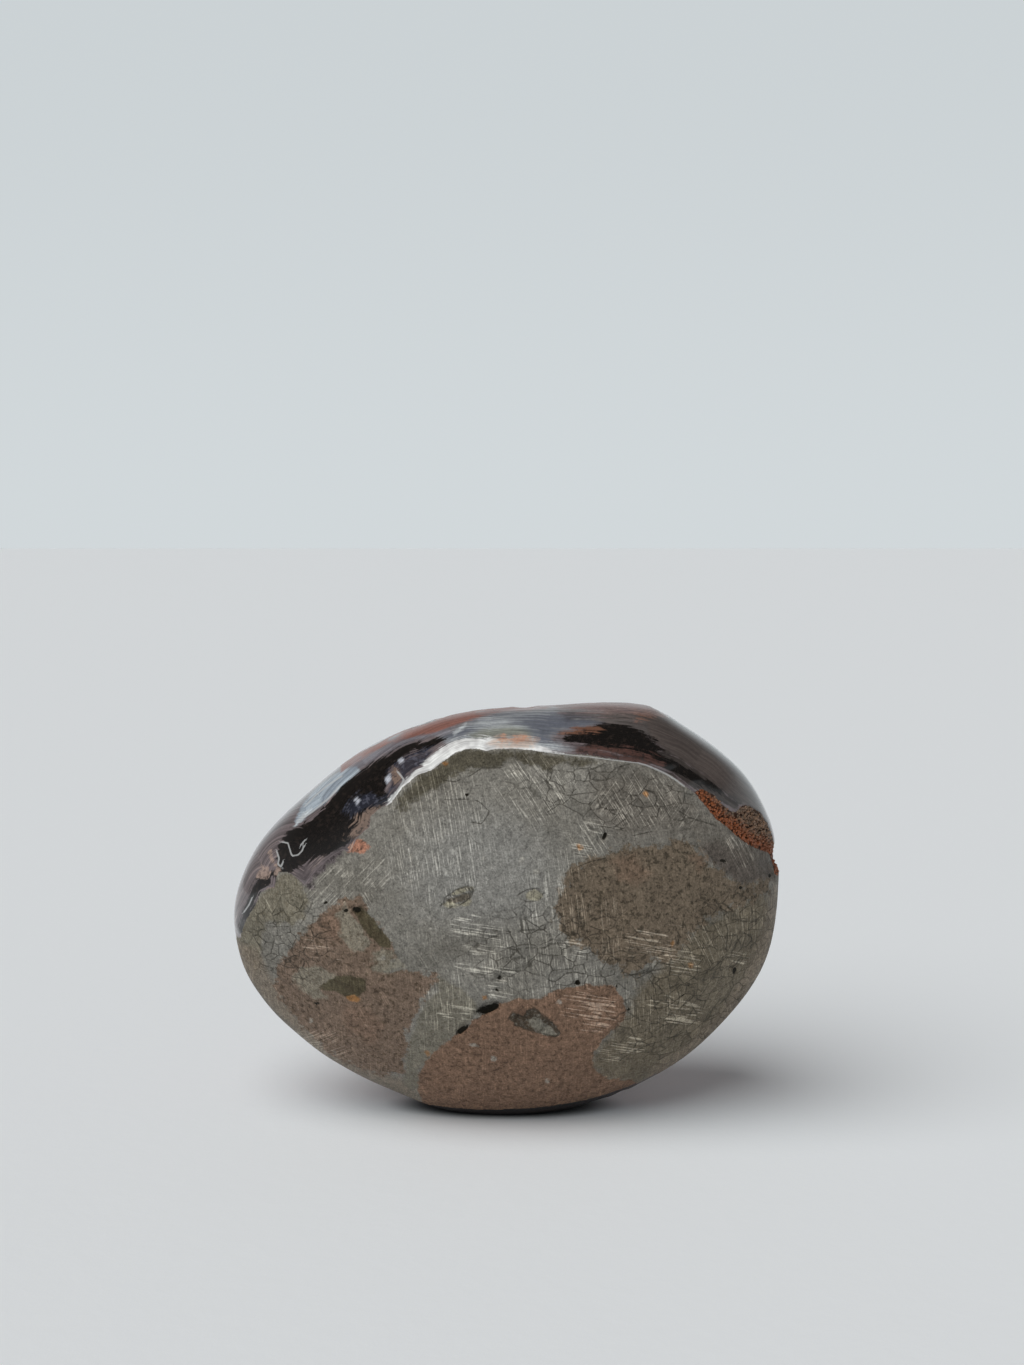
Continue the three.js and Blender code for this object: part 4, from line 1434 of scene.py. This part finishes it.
        colour = nodes.blend(0.7 * depth.smooth(19.5, 22.0), colour, self.red_deep)
        near = contact + 2.4 * wander + 1.3 * coarse
        smoky = nodes.blend(thin.smooth(0.4, 0.6), self.smoke, self.lavender)
        colour = nodes.blend(1 - near.smooth(3.4, 4.8), colour, smoky)
        return nodes.blend(1 - near.smooth(2.0, 2.6), colour, self.black)


def select_faces(piece: bpy.types.Object, chosen: np.ndarray) -> None:
    """Opens a piece for editing with only the chosen faces selected.

    Args:
        piece: The piece, which becomes the active object.
        chosen: True for each face to select.
    """
    bpy.ops.object.select_all(action="DESELECT")
    piece.select_set(True)
    bpy.context.view_layer.objects.active = piece
    bpy.ops.object.mode_set(mode="EDIT")
    bpy.ops.mesh.select_mode(type="FACE")
    bpy.ops.mesh.select_all(action="DESELECT")
    bpy.ops.object.mode_set(mode="OBJECT")
    piece.data.polygons.foreach_set("select", chosen)
    bpy.ops.object.mode_set(mode="EDIT")


def read_rows(items: object, name: str) -> np.ndarray:
    """Reads a vector of each of a mesh's points or faces.

    Args:
        items: The points or faces.
        name: The vector's name in Blender.

    Returns:
        Rows of x, y, z.
    """
    numbers = np.empty(len(items) * 3)
    items.foreach_get(name, numbers)
    return numbers.reshape(-1, 3)


@dataclass
class Stone:
    """The polished stone: its refined mesh, its markings and its finish.

    The rim is what gets finer faces: those wider than rim_cell and above rim_low, in millimetres, up to
    rim_pixels inside the rock's outline, and not turned away further than rim_seen.
    """

    view: PhotoView
    markings: Markings = field(default_factory=Markings)
    finish: StoneFinish = field(default_factory=StoneFinish)
    middle: Vector = Vector((0.0, -0.003, 0.024))
    front_seen: float = -0.4
    grain_height: float = 0.28
    grain_size: float = 0.42
    chip_height: float = 0.16
    chip_sizes: Span = (0.9, 0.4)
    chip_seen: float = 0.22
    levels: int = 2
    rim_cell: float = 0.22
    rim_low: float = 26.0
    rim_pixels: float = 4.0
    rim_seen: float = -0.12

    def build(self, node: bpy.types.Object) -> bpy.types.Object:
        """Makes the stone from the frame's solid.

        Args:
            node: The solid that gives the form.

        Returns:
            The finished stone.
        """
        stone = self.refined_copy(node)
        self.refine_rim(stone)
        self.mark_and_carve(stone)
        stone.data.materials.clear()
        stone.data.materials.append(self.finish.make())
        bpy.ops.object.shade_smooth()
        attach(stone, "root")
        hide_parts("stone")
        return stone

    def refined_copy(self, node: bpy.types.Object) -> bpy.types.Object:
        """Copies the solid, with its triangles merged into a finer surface of four-sided faces.

        Args:
            node: The solid.

        Returns:
            The copy.
        """
        touching = 1e-6
        flat_enough = math.radians(60)
        stone = node.copy()
        stone.data = node.data.copy()
        stone.name = "polished_stone"
        bpy.context.scene.collection.objects.link(stone)
        bpy.ops.object.select_all(action="DESELECT")
        stone.select_set(True)
        bpy.context.view_layer.objects.active = stone
        bpy.ops.object.mode_set(mode="EDIT")
        bpy.ops.mesh.select_all(action="SELECT")
        bpy.ops.mesh.remove_doubles(threshold=touching)
        bpy.ops.mesh.tris_convert_to_quads(face_threshold=flat_enough, shape_threshold=flat_enough)
        bpy.ops.object.mode_set(mode="OBJECT")
        finer = stone.modifiers.new("finer", "SUBSURF")
        finer.levels = self.levels
        finer.render_levels = self.levels
        bpy.ops.object.modifier_apply(modifier=finer.name)
        return stone

    def refine_rim(self, stone: bpy.types.Object) -> None:
        """Cuts the wider faces of the banded rim once more, where the markings are smallest.

        Args:
            stone: The refined stone.
        """
        faces = stone.data.polygons
        areas = np.empty(len(faces))
        faces.foreach_get("area", areas)
        wide = areas > (self.rim_cell * MM) ** 2
        centres = read_rows(faces, "center")
        seen = self.view.seen(centres, read_rows(faces, "normal"))
        inside_rock = distance_inside(self.view.project(centres), self.markings.rock_outline())
        near_rim = (inside_rock < self.rim_pixels) & (seen > self.rim_seen)
        select_faces(stone, wide & near_rim & (centres[:, 2] > self.rim_low * MM))
        bpy.ops.mesh.subdivide(number_cuts=1)
        bpy.ops.object.mode_set(mode="OBJECT")

    def contact_line(self, stone: bpy.types.Object) -> np.ndarray:
        """Lifts the line where rock and chalcedony meet onto the stone.

        Args:
            stone: The refined stone.

        Returns:
            Rows of x, y, z in metres, all round the stone.
        """
        tree = BVHTree.FromObject(stone, bpy.context.evaluated_depsgraph_get())
        rays = [(self.view.position, self.view.ray(*pixel)) for pixel in self.markings.contact]
        rays += [self.ray_from_outside(*corner) for corner in self.markings.hidden_right]
        rays += [(self.view.position, self.view.ray(*pixel)) for pixel in self.markings.contact_below]
        rays += [self.ray_from_outside(*corner) for corner in self.markings.hidden_left]
        hits = [tree.ray_cast(origin, direction)[0] for origin, direction in rays]
        return np.array([tuple(hit) for hit in hits if hit is not None])

    def ray_from_outside(self, degrees: float, depth: float) -> tuple[Vector, Vector]:
        """Aims at the stone's long axis from outside.

        Args:
            degrees: The angle about the stone's middle, from +X towards +Z.
            depth: The y of the ray, in millimetres.

        Returns:
            The ray's start and direction.
        """
        well_outside = 0.08
        turn = math.radians(degrees)
        outward = Vector((math.cos(turn), 0.0, math.sin(turn)))
        axis_point = Vector((self.middle.x, depth * MM, self.middle.z))
        return axis_point + outward * well_outside, -outward

    def around(self, places: np.ndarray) -> tuple[np.ndarray, np.ndarray]:
        """Measures the places' angles about the stone's middle.

        Args:
            places: Rows of x, y, z in metres.

        Returns:
            Each place's angle about the axis through front and back, and its angle from the front.
        """
        offset = places - np.array(self.middle)
        turn = np.arctan2(offset[:, 2], offset[:, 0])
        lean = np.arctan2(np.hypot(offset[:, 0], offset[:, 2]), -offset[:, 1])
        return turn, lean

    def mark_contact(
        self, places: np.ndarray, seen: np.ndarray, line: np.ndarray,
    ) -> tuple[np.ndarray, np.ndarray]:
        """Measures how far beyond the contact each place is, and where along it.

        Args:
            places: Rows of x, y, z in metres.
            seen: How squarely each place faces the camera.
            line: The contact line, all round the stone.

        Returns:
            Millimetres, positive on the chalcedony, and flow coordinates in millimetres.
        """
        steps_between = 12
        shares = np.linspace(0, 1, steps_between, endpoint=False)[:, None]
        dense = np.concatenate([a + shares * (b - a) for a, b in zip(line, np.roll(line, -1, axis=0))])
        steps = np.linalg.norm(np.roll(dense, -1, axis=0) - dense, axis=1)
        arc = np.concatenate([[0.0], np.cumsum(steps)[:-1]]) / steps.sum()
        radius = steps.sum() / MM / (2 * math.pi)
        tree = kdtree.KDTree(len(dense))
        for index, place in enumerate(dense):
            tree.insert(place, index)
        tree.balance()
        found = [tree.find(place) for place in places]
        nearest = np.array([gap for _, _, gap in found]) / MM
        share = arc[[index for _, index, _ in found]] * 2 * math.pi
        turn, lean = self.around(dense)
        own_turn, own_lean = self.around(places)
        limit = np.interp(own_turn, turn, lean, period=2 * math.pi)
        beyond_rock = distance_inside(self.view.project(places), self.markings.rock_outline()) < 0
        beyond = np.where(seen > 0, beyond_rock, own_lean > limit)
        signed = np.where(beyond, nearest, -nearest)
        return signed, np.stack([radius * np.cos(share), radius * np.sin(share), signed], axis=1)

    def mark_and_carve(self, stone: bpy.types.Object) -> None:
        """Writes the markings on the stone's mesh, and carves its pits, grains and chips.

        Args:
            stone: The refined stone.
        """
        foot_kept = 0.05
        mesh = stone.data
        places = read_rows(mesh.vertices, "co")
        normals = read_rows(mesh.vertices, "normal")
        seen = self.view.seen(places, normals)
        front = seen > self.front_seen
        pixels = self.view.project(places)
        swayed = pixels + np.stack([self.crown_sway(places, seen), np.zeros(len(places))], axis=1)
        _, above_low_side = distance_beside(pixels, (Line(self.markings.seam_low_side),))
        contact, flow = self.mark_contact(places, seen, self.contact_line(stone))
        pit, lowered = self.pits(pixels, front)
        seam = self.inside_mm(pixels, front, (self.markings.seam,))
        values = {
            Mark.SEEN.value: seen,
            Mark.CONTACT.value: contact,
            Mark.PIT.value: pit,
            Mark.SEAM.value: seam,
            Mark.SEAM_RISE.value: above_low_side / self.view.pixels_per_mm(),
        }
        values |= {patch.name: self.inside_mm(pixels, front, patch.outlines) for patch in ROCK_PATCHES}
        values |= {patch.name: self.inside_mm(swayed, front, patch.outlines) for patch in CAP_PATCHES}
        values |= self.line_marks(pixels, front) | self.oval_marks(pixels, front)
        lowered = lowered + self.seam_depth(places, seam) + self.chip_depth(places, seen)
        lowered *= np.clip(places[:, 2] / MM - foot_kept, 0, 1)
        carved = places - normals * (lowered * MM)[:, None]
        mesh.vertices.foreach_set("co", carved.ravel())
        for name, numbers in values.items():
            attribute = mesh.attributes.new(name, "FLOAT", "POINT")
            attribute.data.foreach_set("value", numbers.astype(np.float32))
        attribute = mesh.attributes.new(Mark.FLOW.value, "FLOAT_VECTOR", "POINT")
        attribute.data.foreach_set("vector", flow.astype(np.float32).ravel())
        mesh.update()

    def inside_mm(self, pixels: np.ndarray, front: np.ndarray, outlines: tuple[Points, ...]) -> np.ndarray:
        """Measures how far inside the nearest of some outlines each point is.

        Args:
            pixels: Where each point falls in the picture.
            front: True for points on the front.
            outlines: The outlines, in the picture's pixels.

        Returns:
            Millimetres, positive inside.
        """
        to_mm = 1 / self.view.pixels_per_mm()
        inside = np.max([distance_inside(pixels, outline) for outline in outlines], axis=0)
        return np.where(front, inside * to_mm, OUTSIDE)

    def line_marks(self, pixels: np.ndarray, front: np.ndarray) -> dict[str, np.ndarray]:
        """Measures how far the cracks and veins are.

        Args:
            pixels: Where each point falls in the picture.
            front: True for points on the front.

        Returns:
            The marks by name, in half widths beside a line and in pixels from it.
        """
        values = {}
        for side, near, lines in (
            (Mark.CRACK_SIDE, Mark.CRACK_NEAR, CRACKS), (Mark.VEIN_SIDE, Mark.VEIN_NEAR, VEINS),
        ):
            beside, gap = distance_beside(pixels, lines)
            values[side.value] = np.where(front, beside, FAR_OFF)
            values[near.value] = np.where(front, gap, FAR_OFF)
        return values

    def oval_marks(self, pixels: np.ndarray, front: np.ndarray) -> dict[str, np.ndarray]:
        """Measures where the scratches, cells and painted sheen lie.

        Args:
            pixels: Where each point falls in the picture.
            front: True for points on the front.

        Returns:
            The marks by name, from 1 in the middle of an oval to 0 outside them all.
        """
        ovals = {
            Mark.FLAT_STROKES: self.markings.flat_strokes,
            Mark.STEEP_STROKES: self.markings.steep_strokes,
            Mark.SLANTED_STROKES: self.markings.slanted_strokes,
            Mark.RISING_STROKES: self.markings.rising_strokes,
            Mark.CELLS: self.markings.cells,
            Mark.SHEEN: self.markings.sheen,
        }
        return {
            mark.value: np.where(front, np.max([oval.mask(pixels) for oval in group], axis=0), 0.0)
            for mark, group in ovals.items()
        }

    def crown_sway(self, places: np.ndarray, seen: np.ndarray) -> np.ndarray:
        """Sways the markings of the flat crown, so that from above their ends aren't straight.

        Args:
            places: Rows of x, y, z in metres.
            seen: How squarely each point faces the camera.

        Returns:
            Pixels to move each point's column by.
        """
        crown_low = 41.0
        fade_height = 3.0
        front_seen = 0.35
        fade_seen = 0.3
        reach = 70.0
        ripple = 5.0 * MM
        finer = 2.3
        high = np.clip((places[:, 2] / MM - crown_low) / fade_height, 0, 1)
        swaying = high * np.clip((front_seen - seen) / fade_seen, 0, 1)
        sway = np.zeros(len(places))
        for index in np.flatnonzero(swaying > 0):
            place = Vector(places[index]) / ripple
            sway[index] = reach * swaying[index] * (noise.noise(place) + 0.5 * noise.noise(finer * place))
        return sway

    def pits(self, pixels: np.ndarray, front: np.ndarray) -> tuple[np.ndarray, np.ndarray]:
        """Finds the pits' places and depths.

        Args:
            pixels: Where each point falls in the picture.
            front: True for points on the front.

        Returns:
            1 in the middle of a pit and 0 outside it, and the extra depth in millimetres.
        """
        share = np.zeros(len(pixels))
        depth = np.zeros(len(pixels))
        rim = 1.15
        steepness = 1.6
        for pit in self.markings.pits:
            inside = np.clip(rim - pit.oval.reach(pixels), 0, 1)
            share = np.maximum(share, pit.dark * inside)
            depth += pit.depth * np.clip(steepness * inside, 0, 1)
        return np.where(front, share, 0), np.where(front, depth, 0)

    def seam_depth(self, places: np.ndarray, seam: np.ndarray) -> np.ndarray:
        """Makes the seam's floor grainy.

        Args:
            places: Rows of x, y, z in metres.
            seam: Millimetres inside the seam.

        Returns:
            Millimetres to lower each point by.
        """
        beside_seam = 0.1
        grain_size = self.grain_size * MM
        depth = np.zeros(len(places))
        for index in np.flatnonzero(seam > -beside_seam):
            distances, _ = noise.voronoi(Vector(places[index]) / grain_size)
            share = min(1.0, 2 * (seam[index] + beside_seam))
            depth[index] = self.grain_height * share * (distances[0] * 1.4 - 0.35)
        return depth

    def chip_depth(self, places: np.ndarray, seen: np.ndarray) -> np.ndarray:
        """Breaks small chips out of the crown's edge.

        Args:
            places: Rows of x, y, z in metres.
            seen: How squarely each point faces the camera.

        Returns:
            Millimetres to lower each point by.
        """
        left, right, low = -12 * MM, 19 * MM, 45 * MM
        whole = 0.12
        wide, small = self.chip_sizes
        depth = np.zeros(len(places))
        on_crown = (places[:, 2] > low) & (np.abs(seen) < self.chip_seen)
        on_crown &= (places[:, 0] > left) & (places[:, 0] < right)
        for index in np.flatnonzero(on_crown):
            place = Vector(places[index])
            rough = noise.noise(place / (wide * MM)) + 0.5 * noise.noise(place / (small * MM))
            share = 1 - abs(seen[index]) / self.chip_seen
            depth[index] = self.chip_height * share * max(0.0, rough - whole)
        return depth


@dataclass
class SeamCrystals:
    """The small crystals that line the open seam on the right shoulder, with sizes in millimetres."""

    stone: bpy.types.Object
    count: int = 900
    seed: int = 7
    width: Span = (0.09, 0.18)
    length: Span = (0.18, 0.40)
    rim_length: float = 0.35
    sunk: float = 0.12
    jitter: float = 0.15
    lean: float = 0.55
    from_edge: float = 0.1
    least_seen: float = 0.12
    tan_from: float = 0.75
    tan_rise: float = 0.9
    tan_spread: float = 0.3
    orange: Colour = (0.262, 0.088, 0.037)
    tan: Colour = (0.195, 0.122, 0.080)
    refraction: float = 1.54

    def build(self) -> bpy.types.Object:
        """Makes the crystals as one piece on the seam's floor.

        Returns:
            The piece.
        """
        chance = random.Random(self.seed)
        seam = self.read_mark(Mark.SEAM)
        rise = self.read_mark(Mark.SEAM_RISE)
        inside = np.flatnonzero((seam > self.from_edge) & (self.read_mark(Mark.SEEN) > self.least_seen))
        pattern = self.model_one()
        copies = []
        for _ in range(self.count):
            index = int(chance.choice(inside))
            shape = self.shape_at(self.stone.data.vertices[index], float(seam[index]), chance)
            tint = float(rise[index]) * self.tan_rise - self.tan_from
            tint += chance.uniform(-self.tan_spread, self.tan_spread)
            copies.append(self.copy_of(pattern, shape, min(1.0, max(0.0, tint))))
        bpy.data.objects.remove(pattern)
        bpy.ops.object.select_all(action="DESELECT")
        for copy in copies:
            copy.select_set(True)
        crystals = copies[0]
        bpy.context.view_layer.objects.active = crystals
        bpy.ops.object.join()
        crystals.name = "seam_crystals"
        crystals.data.materials.append(self.finish())
        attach(crystals, "root")
        return crystals

    def shape_at(self, vertex: bpy.types.MeshVertex, seam: float, chance: random.Random) -> Matrix:
        """Draws the lot of one crystal.

        Args:
            vertex: The point of the seam's floor that it grows from.
            seam: How far inside the seam that is, in millimetres.
            chance: The source of random numbers.

        Returns:
            Its place, turn and size.
        """
        jitter = Vector([chance.uniform(-self.jitter, self.jitter) * MM for _ in range(3)])
        lean = Vector([chance.uniform(-self.lean, self.lean) for _ in range(3)])
        axis = (vertex.normal + lean).normalized()
        size = chance.uniform(*self.width) * MM
        tall = chance.uniform(*self.length) * MM * min(1.0, self.rim_length + seam)
        upright = axis.to_track_quat("Z", "Y").to_matrix().to_4x4()
        spin = Matrix.Rotation(chance.uniform(0, math.pi), 4, "Z")
        foot = Matrix.Translation(vertex.co + jitter - axis * self.sunk * MM)
        return foot @ upright @ spin @ Matrix.Diagonal((size, size, tall, 1.0))

    def read_mark(self, mark: Mark) -> np.ndarray:
        """Reads one of the stone's marks.

        Args:
            mark: The mark.

        Returns:
            Its number at each of the stone's points.
        """
        numbers = np.empty(len(self.stone.data.vertices), dtype=np.float32)
        self.stone.data.attributes[mark.value].data.foreach_get("value", numbers)
        return numbers

    def model_one(self) -> bpy.types.Object:
        """Models one crystal of unit size, a five-sided prism with a point.

        Returns:
            The crystal.
        """
        prism = 0.62
        point = 0.38
        upwards = 0.9
        bpy.ops.object.select_all(action="DESELECT")
        bpy.ops.mesh.primitive_cylinder_add(vertices=5, radius=1.0, depth=prism, location=(0, 0, prism / 2))
        crystal = bpy.context.object
        bpy.ops.object.transform_apply(location=True)
        select_faces(crystal, read_rows(crystal.data.polygons, "normal")[:, 2] > upwards)
        bpy.ops.mesh.extrude_region_move(TRANSFORM_OT_translate={"value": (0, 0, point)})
        bpy.ops.mesh.merge(type="CENTER")
        bpy.ops.object.mode_set(mode="OBJECT")
        return crystal

    def copy_of(self, pattern: bpy.types.Object, shape: Matrix, tint: float) -> bpy.types.Object:
        """Copies the crystal to its place.

        Args:
            pattern: The crystal of unit size.
            shape: Its place, turn and size.
            tint: 0 for an orange crystal and 1 for a tan one.

        Returns:
            The copy, with its own mesh.
        """
        crystal = pattern.copy()
        crystal.data = pattern.data.copy()
        crystal.data.transform(shape)
        attribute = crystal.data.attributes.new("tint", "FLOAT", "POINT")
        attribute.data.foreach_set("value", [tint] * len(crystal.data.vertices))
        bpy.context.scene.collection.objects.link(crystal)
        return crystal

    def finish(self) -> bpy.types.Material:
        """Makes the crystals' material.

        Returns:
            The material.
        """
        material, nodes, place = new_material("small_crystals")
        colour = nodes.blend(nodes.number("tint"), self.orange, self.tan)
        colour = nodes.shade(colour, 0.25 + 1.5 * nodes.cloud(place, 1800.0, 2.0))
        roughness = 0.2 + 0.5 * nodes.cloud(place, 2600.0, 1.0)
        shader = nodes.add(
            "ShaderNodeBsdfPrincipled", None, Base_Color=colour, Roughness=roughness, IOR=self.refraction,
        )
        nodes.add("ShaderNodeOutputMaterial", None, Surface=shader.outputs[0])
        return material


@dataclass(frozen=True)
class Studio:
    """The pale floor, the soft light and the pale surroundings.

    Each span of the surroundings is of the direction's x, y or z, over which one tone gives way to the next.
    """

    floor_colour: Colour = (0.860, 0.895, 0.930)
    horizon: Colour = (0.64, 0.685, 0.705)
    upper_wall: Colour = (0.60, 0.645, 0.665)
    ceiling: Colour = (0.095, 0.09, 0.085)
    near_side: Colour = (0.42, 0.44, 0.45)
    dim_side: Colour = (0.26, 0.26, 0.26)
    wall_span: Span = (0.0, 0.27)
    ceiling_span: Span = (0.27, 0.62)
    near_span: Span = (0.10, 0.60)
    dim_span: Span = (0.40, 0.80)
    key_strength: float = 2.35
    key_spread: float = 62.0
    key_colour: Colour = (1.0, 0.99, 0.97)
    key_from: Triple = (-0.64, -0.64, 1.20)
    floor_size: float = 12.0
    fibre_scale: float = 420.0
    # The painted shadow round the stone's foot: its oval in metres, its edge and how dark it gets.
    painted_shadow_reach: Span = (0.0115, 0.0048)
    painted_shadow_edge: Span = (0.75, 1.3)
    painted_foot_shade: float = 0.05

    def build(self) -> None:
        """Makes the floor, the surroundings and the light."""
        bpy.ops.object.select_all(action="DESELECT")
        bpy.ops.mesh.primitive_plane_add(size=self.floor_size)
        floor = bpy.context.object
        floor.name = "floor"
        floor.data.materials.append(self.floor_finish())
        self.surroundings()
        turn = (-Vector(self.key_from)).to_track_quat("-Z", "Y").to_euler()
        bpy.ops.object.light_add(type="SUN", location=self.key_from, rotation=turn)
        key = bpy.context.object
        key.name = "key_light"
        key.data.energy = self.key_strength
        key.data.angle = math.radians(self.key_spread)
        key.data.color = self.key_colour
        key.visible_glossy = False

    def floor_finish(self) -> bpy.types.Material:
        """Makes the floor's pale paper finish, with a painted shadow that darkens it where the stone's foot
        keeps the light out.

        Returns:
            The material.
        """
        material, nodes, place = new_material("pale_paper")
        fibre = nodes.cloud(place, self.fibre_scale, 4.0)
        bump = nodes.add("ShaderNodeBump", None, Strength=0.25, Distance=0.0002, Height=fibre)
        # Painted shadow: the paper is darkened in an oval round the stone's foot, where the stone keeps the
        # light out.
        across = nodes.along(place, (1 / self.painted_shadow_reach[0], 0.0, 0.0))
        deep = nodes.along(place, (0.0, 1 / self.painted_shadow_reach[1], 0.0))
        reach = nodes.math("SQRT", across * across + deep * deep)
        lit = self.painted_foot_shade + (1 - self.painted_foot_shade) * reach.smooth(*self.painted_shadow_edge)
        colour = nodes.shade(self.floor_colour, lit)
        shader = nodes.add(
            "ShaderNodeBsdfPrincipled", None, Base_Color=colour, Roughness=0.9,
            Specular_IOR_Level=0.2, Normal=bump.outputs[0],
        )
        nodes.add("ShaderNodeOutputMaterial", None, Surface=shader.outputs[0])
        return material

    def surroundings(self) -> None:
        """Makes surroundings that are bright at the horizon and dim overhead."""
        world = bpy.data.worlds.new("pale_room")
        bpy.context.scene.world = world
        world.use_nodes = True
        world.node_tree.nodes.clear()
        nodes = Nodes(world.node_tree)
        place = nodes.add("ShaderNodeTexCoord").outputs["Generated"]
        apart = nodes.add("ShaderNodeSeparateXYZ", None, s0=place)
        rise = Value(nodes, apart.outputs[2])
        left = Value(nodes, apart.outputs[0]) * -1
        near = Value(nodes, apart.outputs[1]) * -1
        colour = nodes.blend(rise.smooth(*self.wall_span), self.horizon, self.upper_wall)
        colour = nodes.blend(near.smooth(*self.near_span), colour, self.near_side)
        colour = nodes.blend(left.smooth(*self.dim_span), colour, self.dim_side)
        colour = nodes.blend(rise.smooth(*self.ceiling_span), colour, self.ceiling)
        shine = nodes.add("ShaderNodeBackground", None, Color=colour, Strength=1.0)
        nodes.add("ShaderNodeOutputWorld", None, Surface=shine.outputs[0])


def main() -> None:
    """Builds the camera, the stone and the studio."""
    logging.basicConfig(level=logging.INFO, format="%(name)s: %(message)s")
    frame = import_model()
    bpy.context.scene.view_settings.view_transform = "Standard"
    bpy.ops.object.select_all(action="DESELECT")
    view = PhotoView()
    view.make_camera()
    LOG.info("camera placed")
    stone = Stone(view).build(frame["nodes"]["stone"])
    LOG.info("%s: %d faces", stone.name, len(stone.data.polygons))
    crystals = SeamCrystals(stone).build()
    LOG.info("%s: %d faces", crystals.name, len(crystals.data.polygons))
    Studio().build()
    LOG.info("studio lit")


if __name__ == "__main__":
    main()
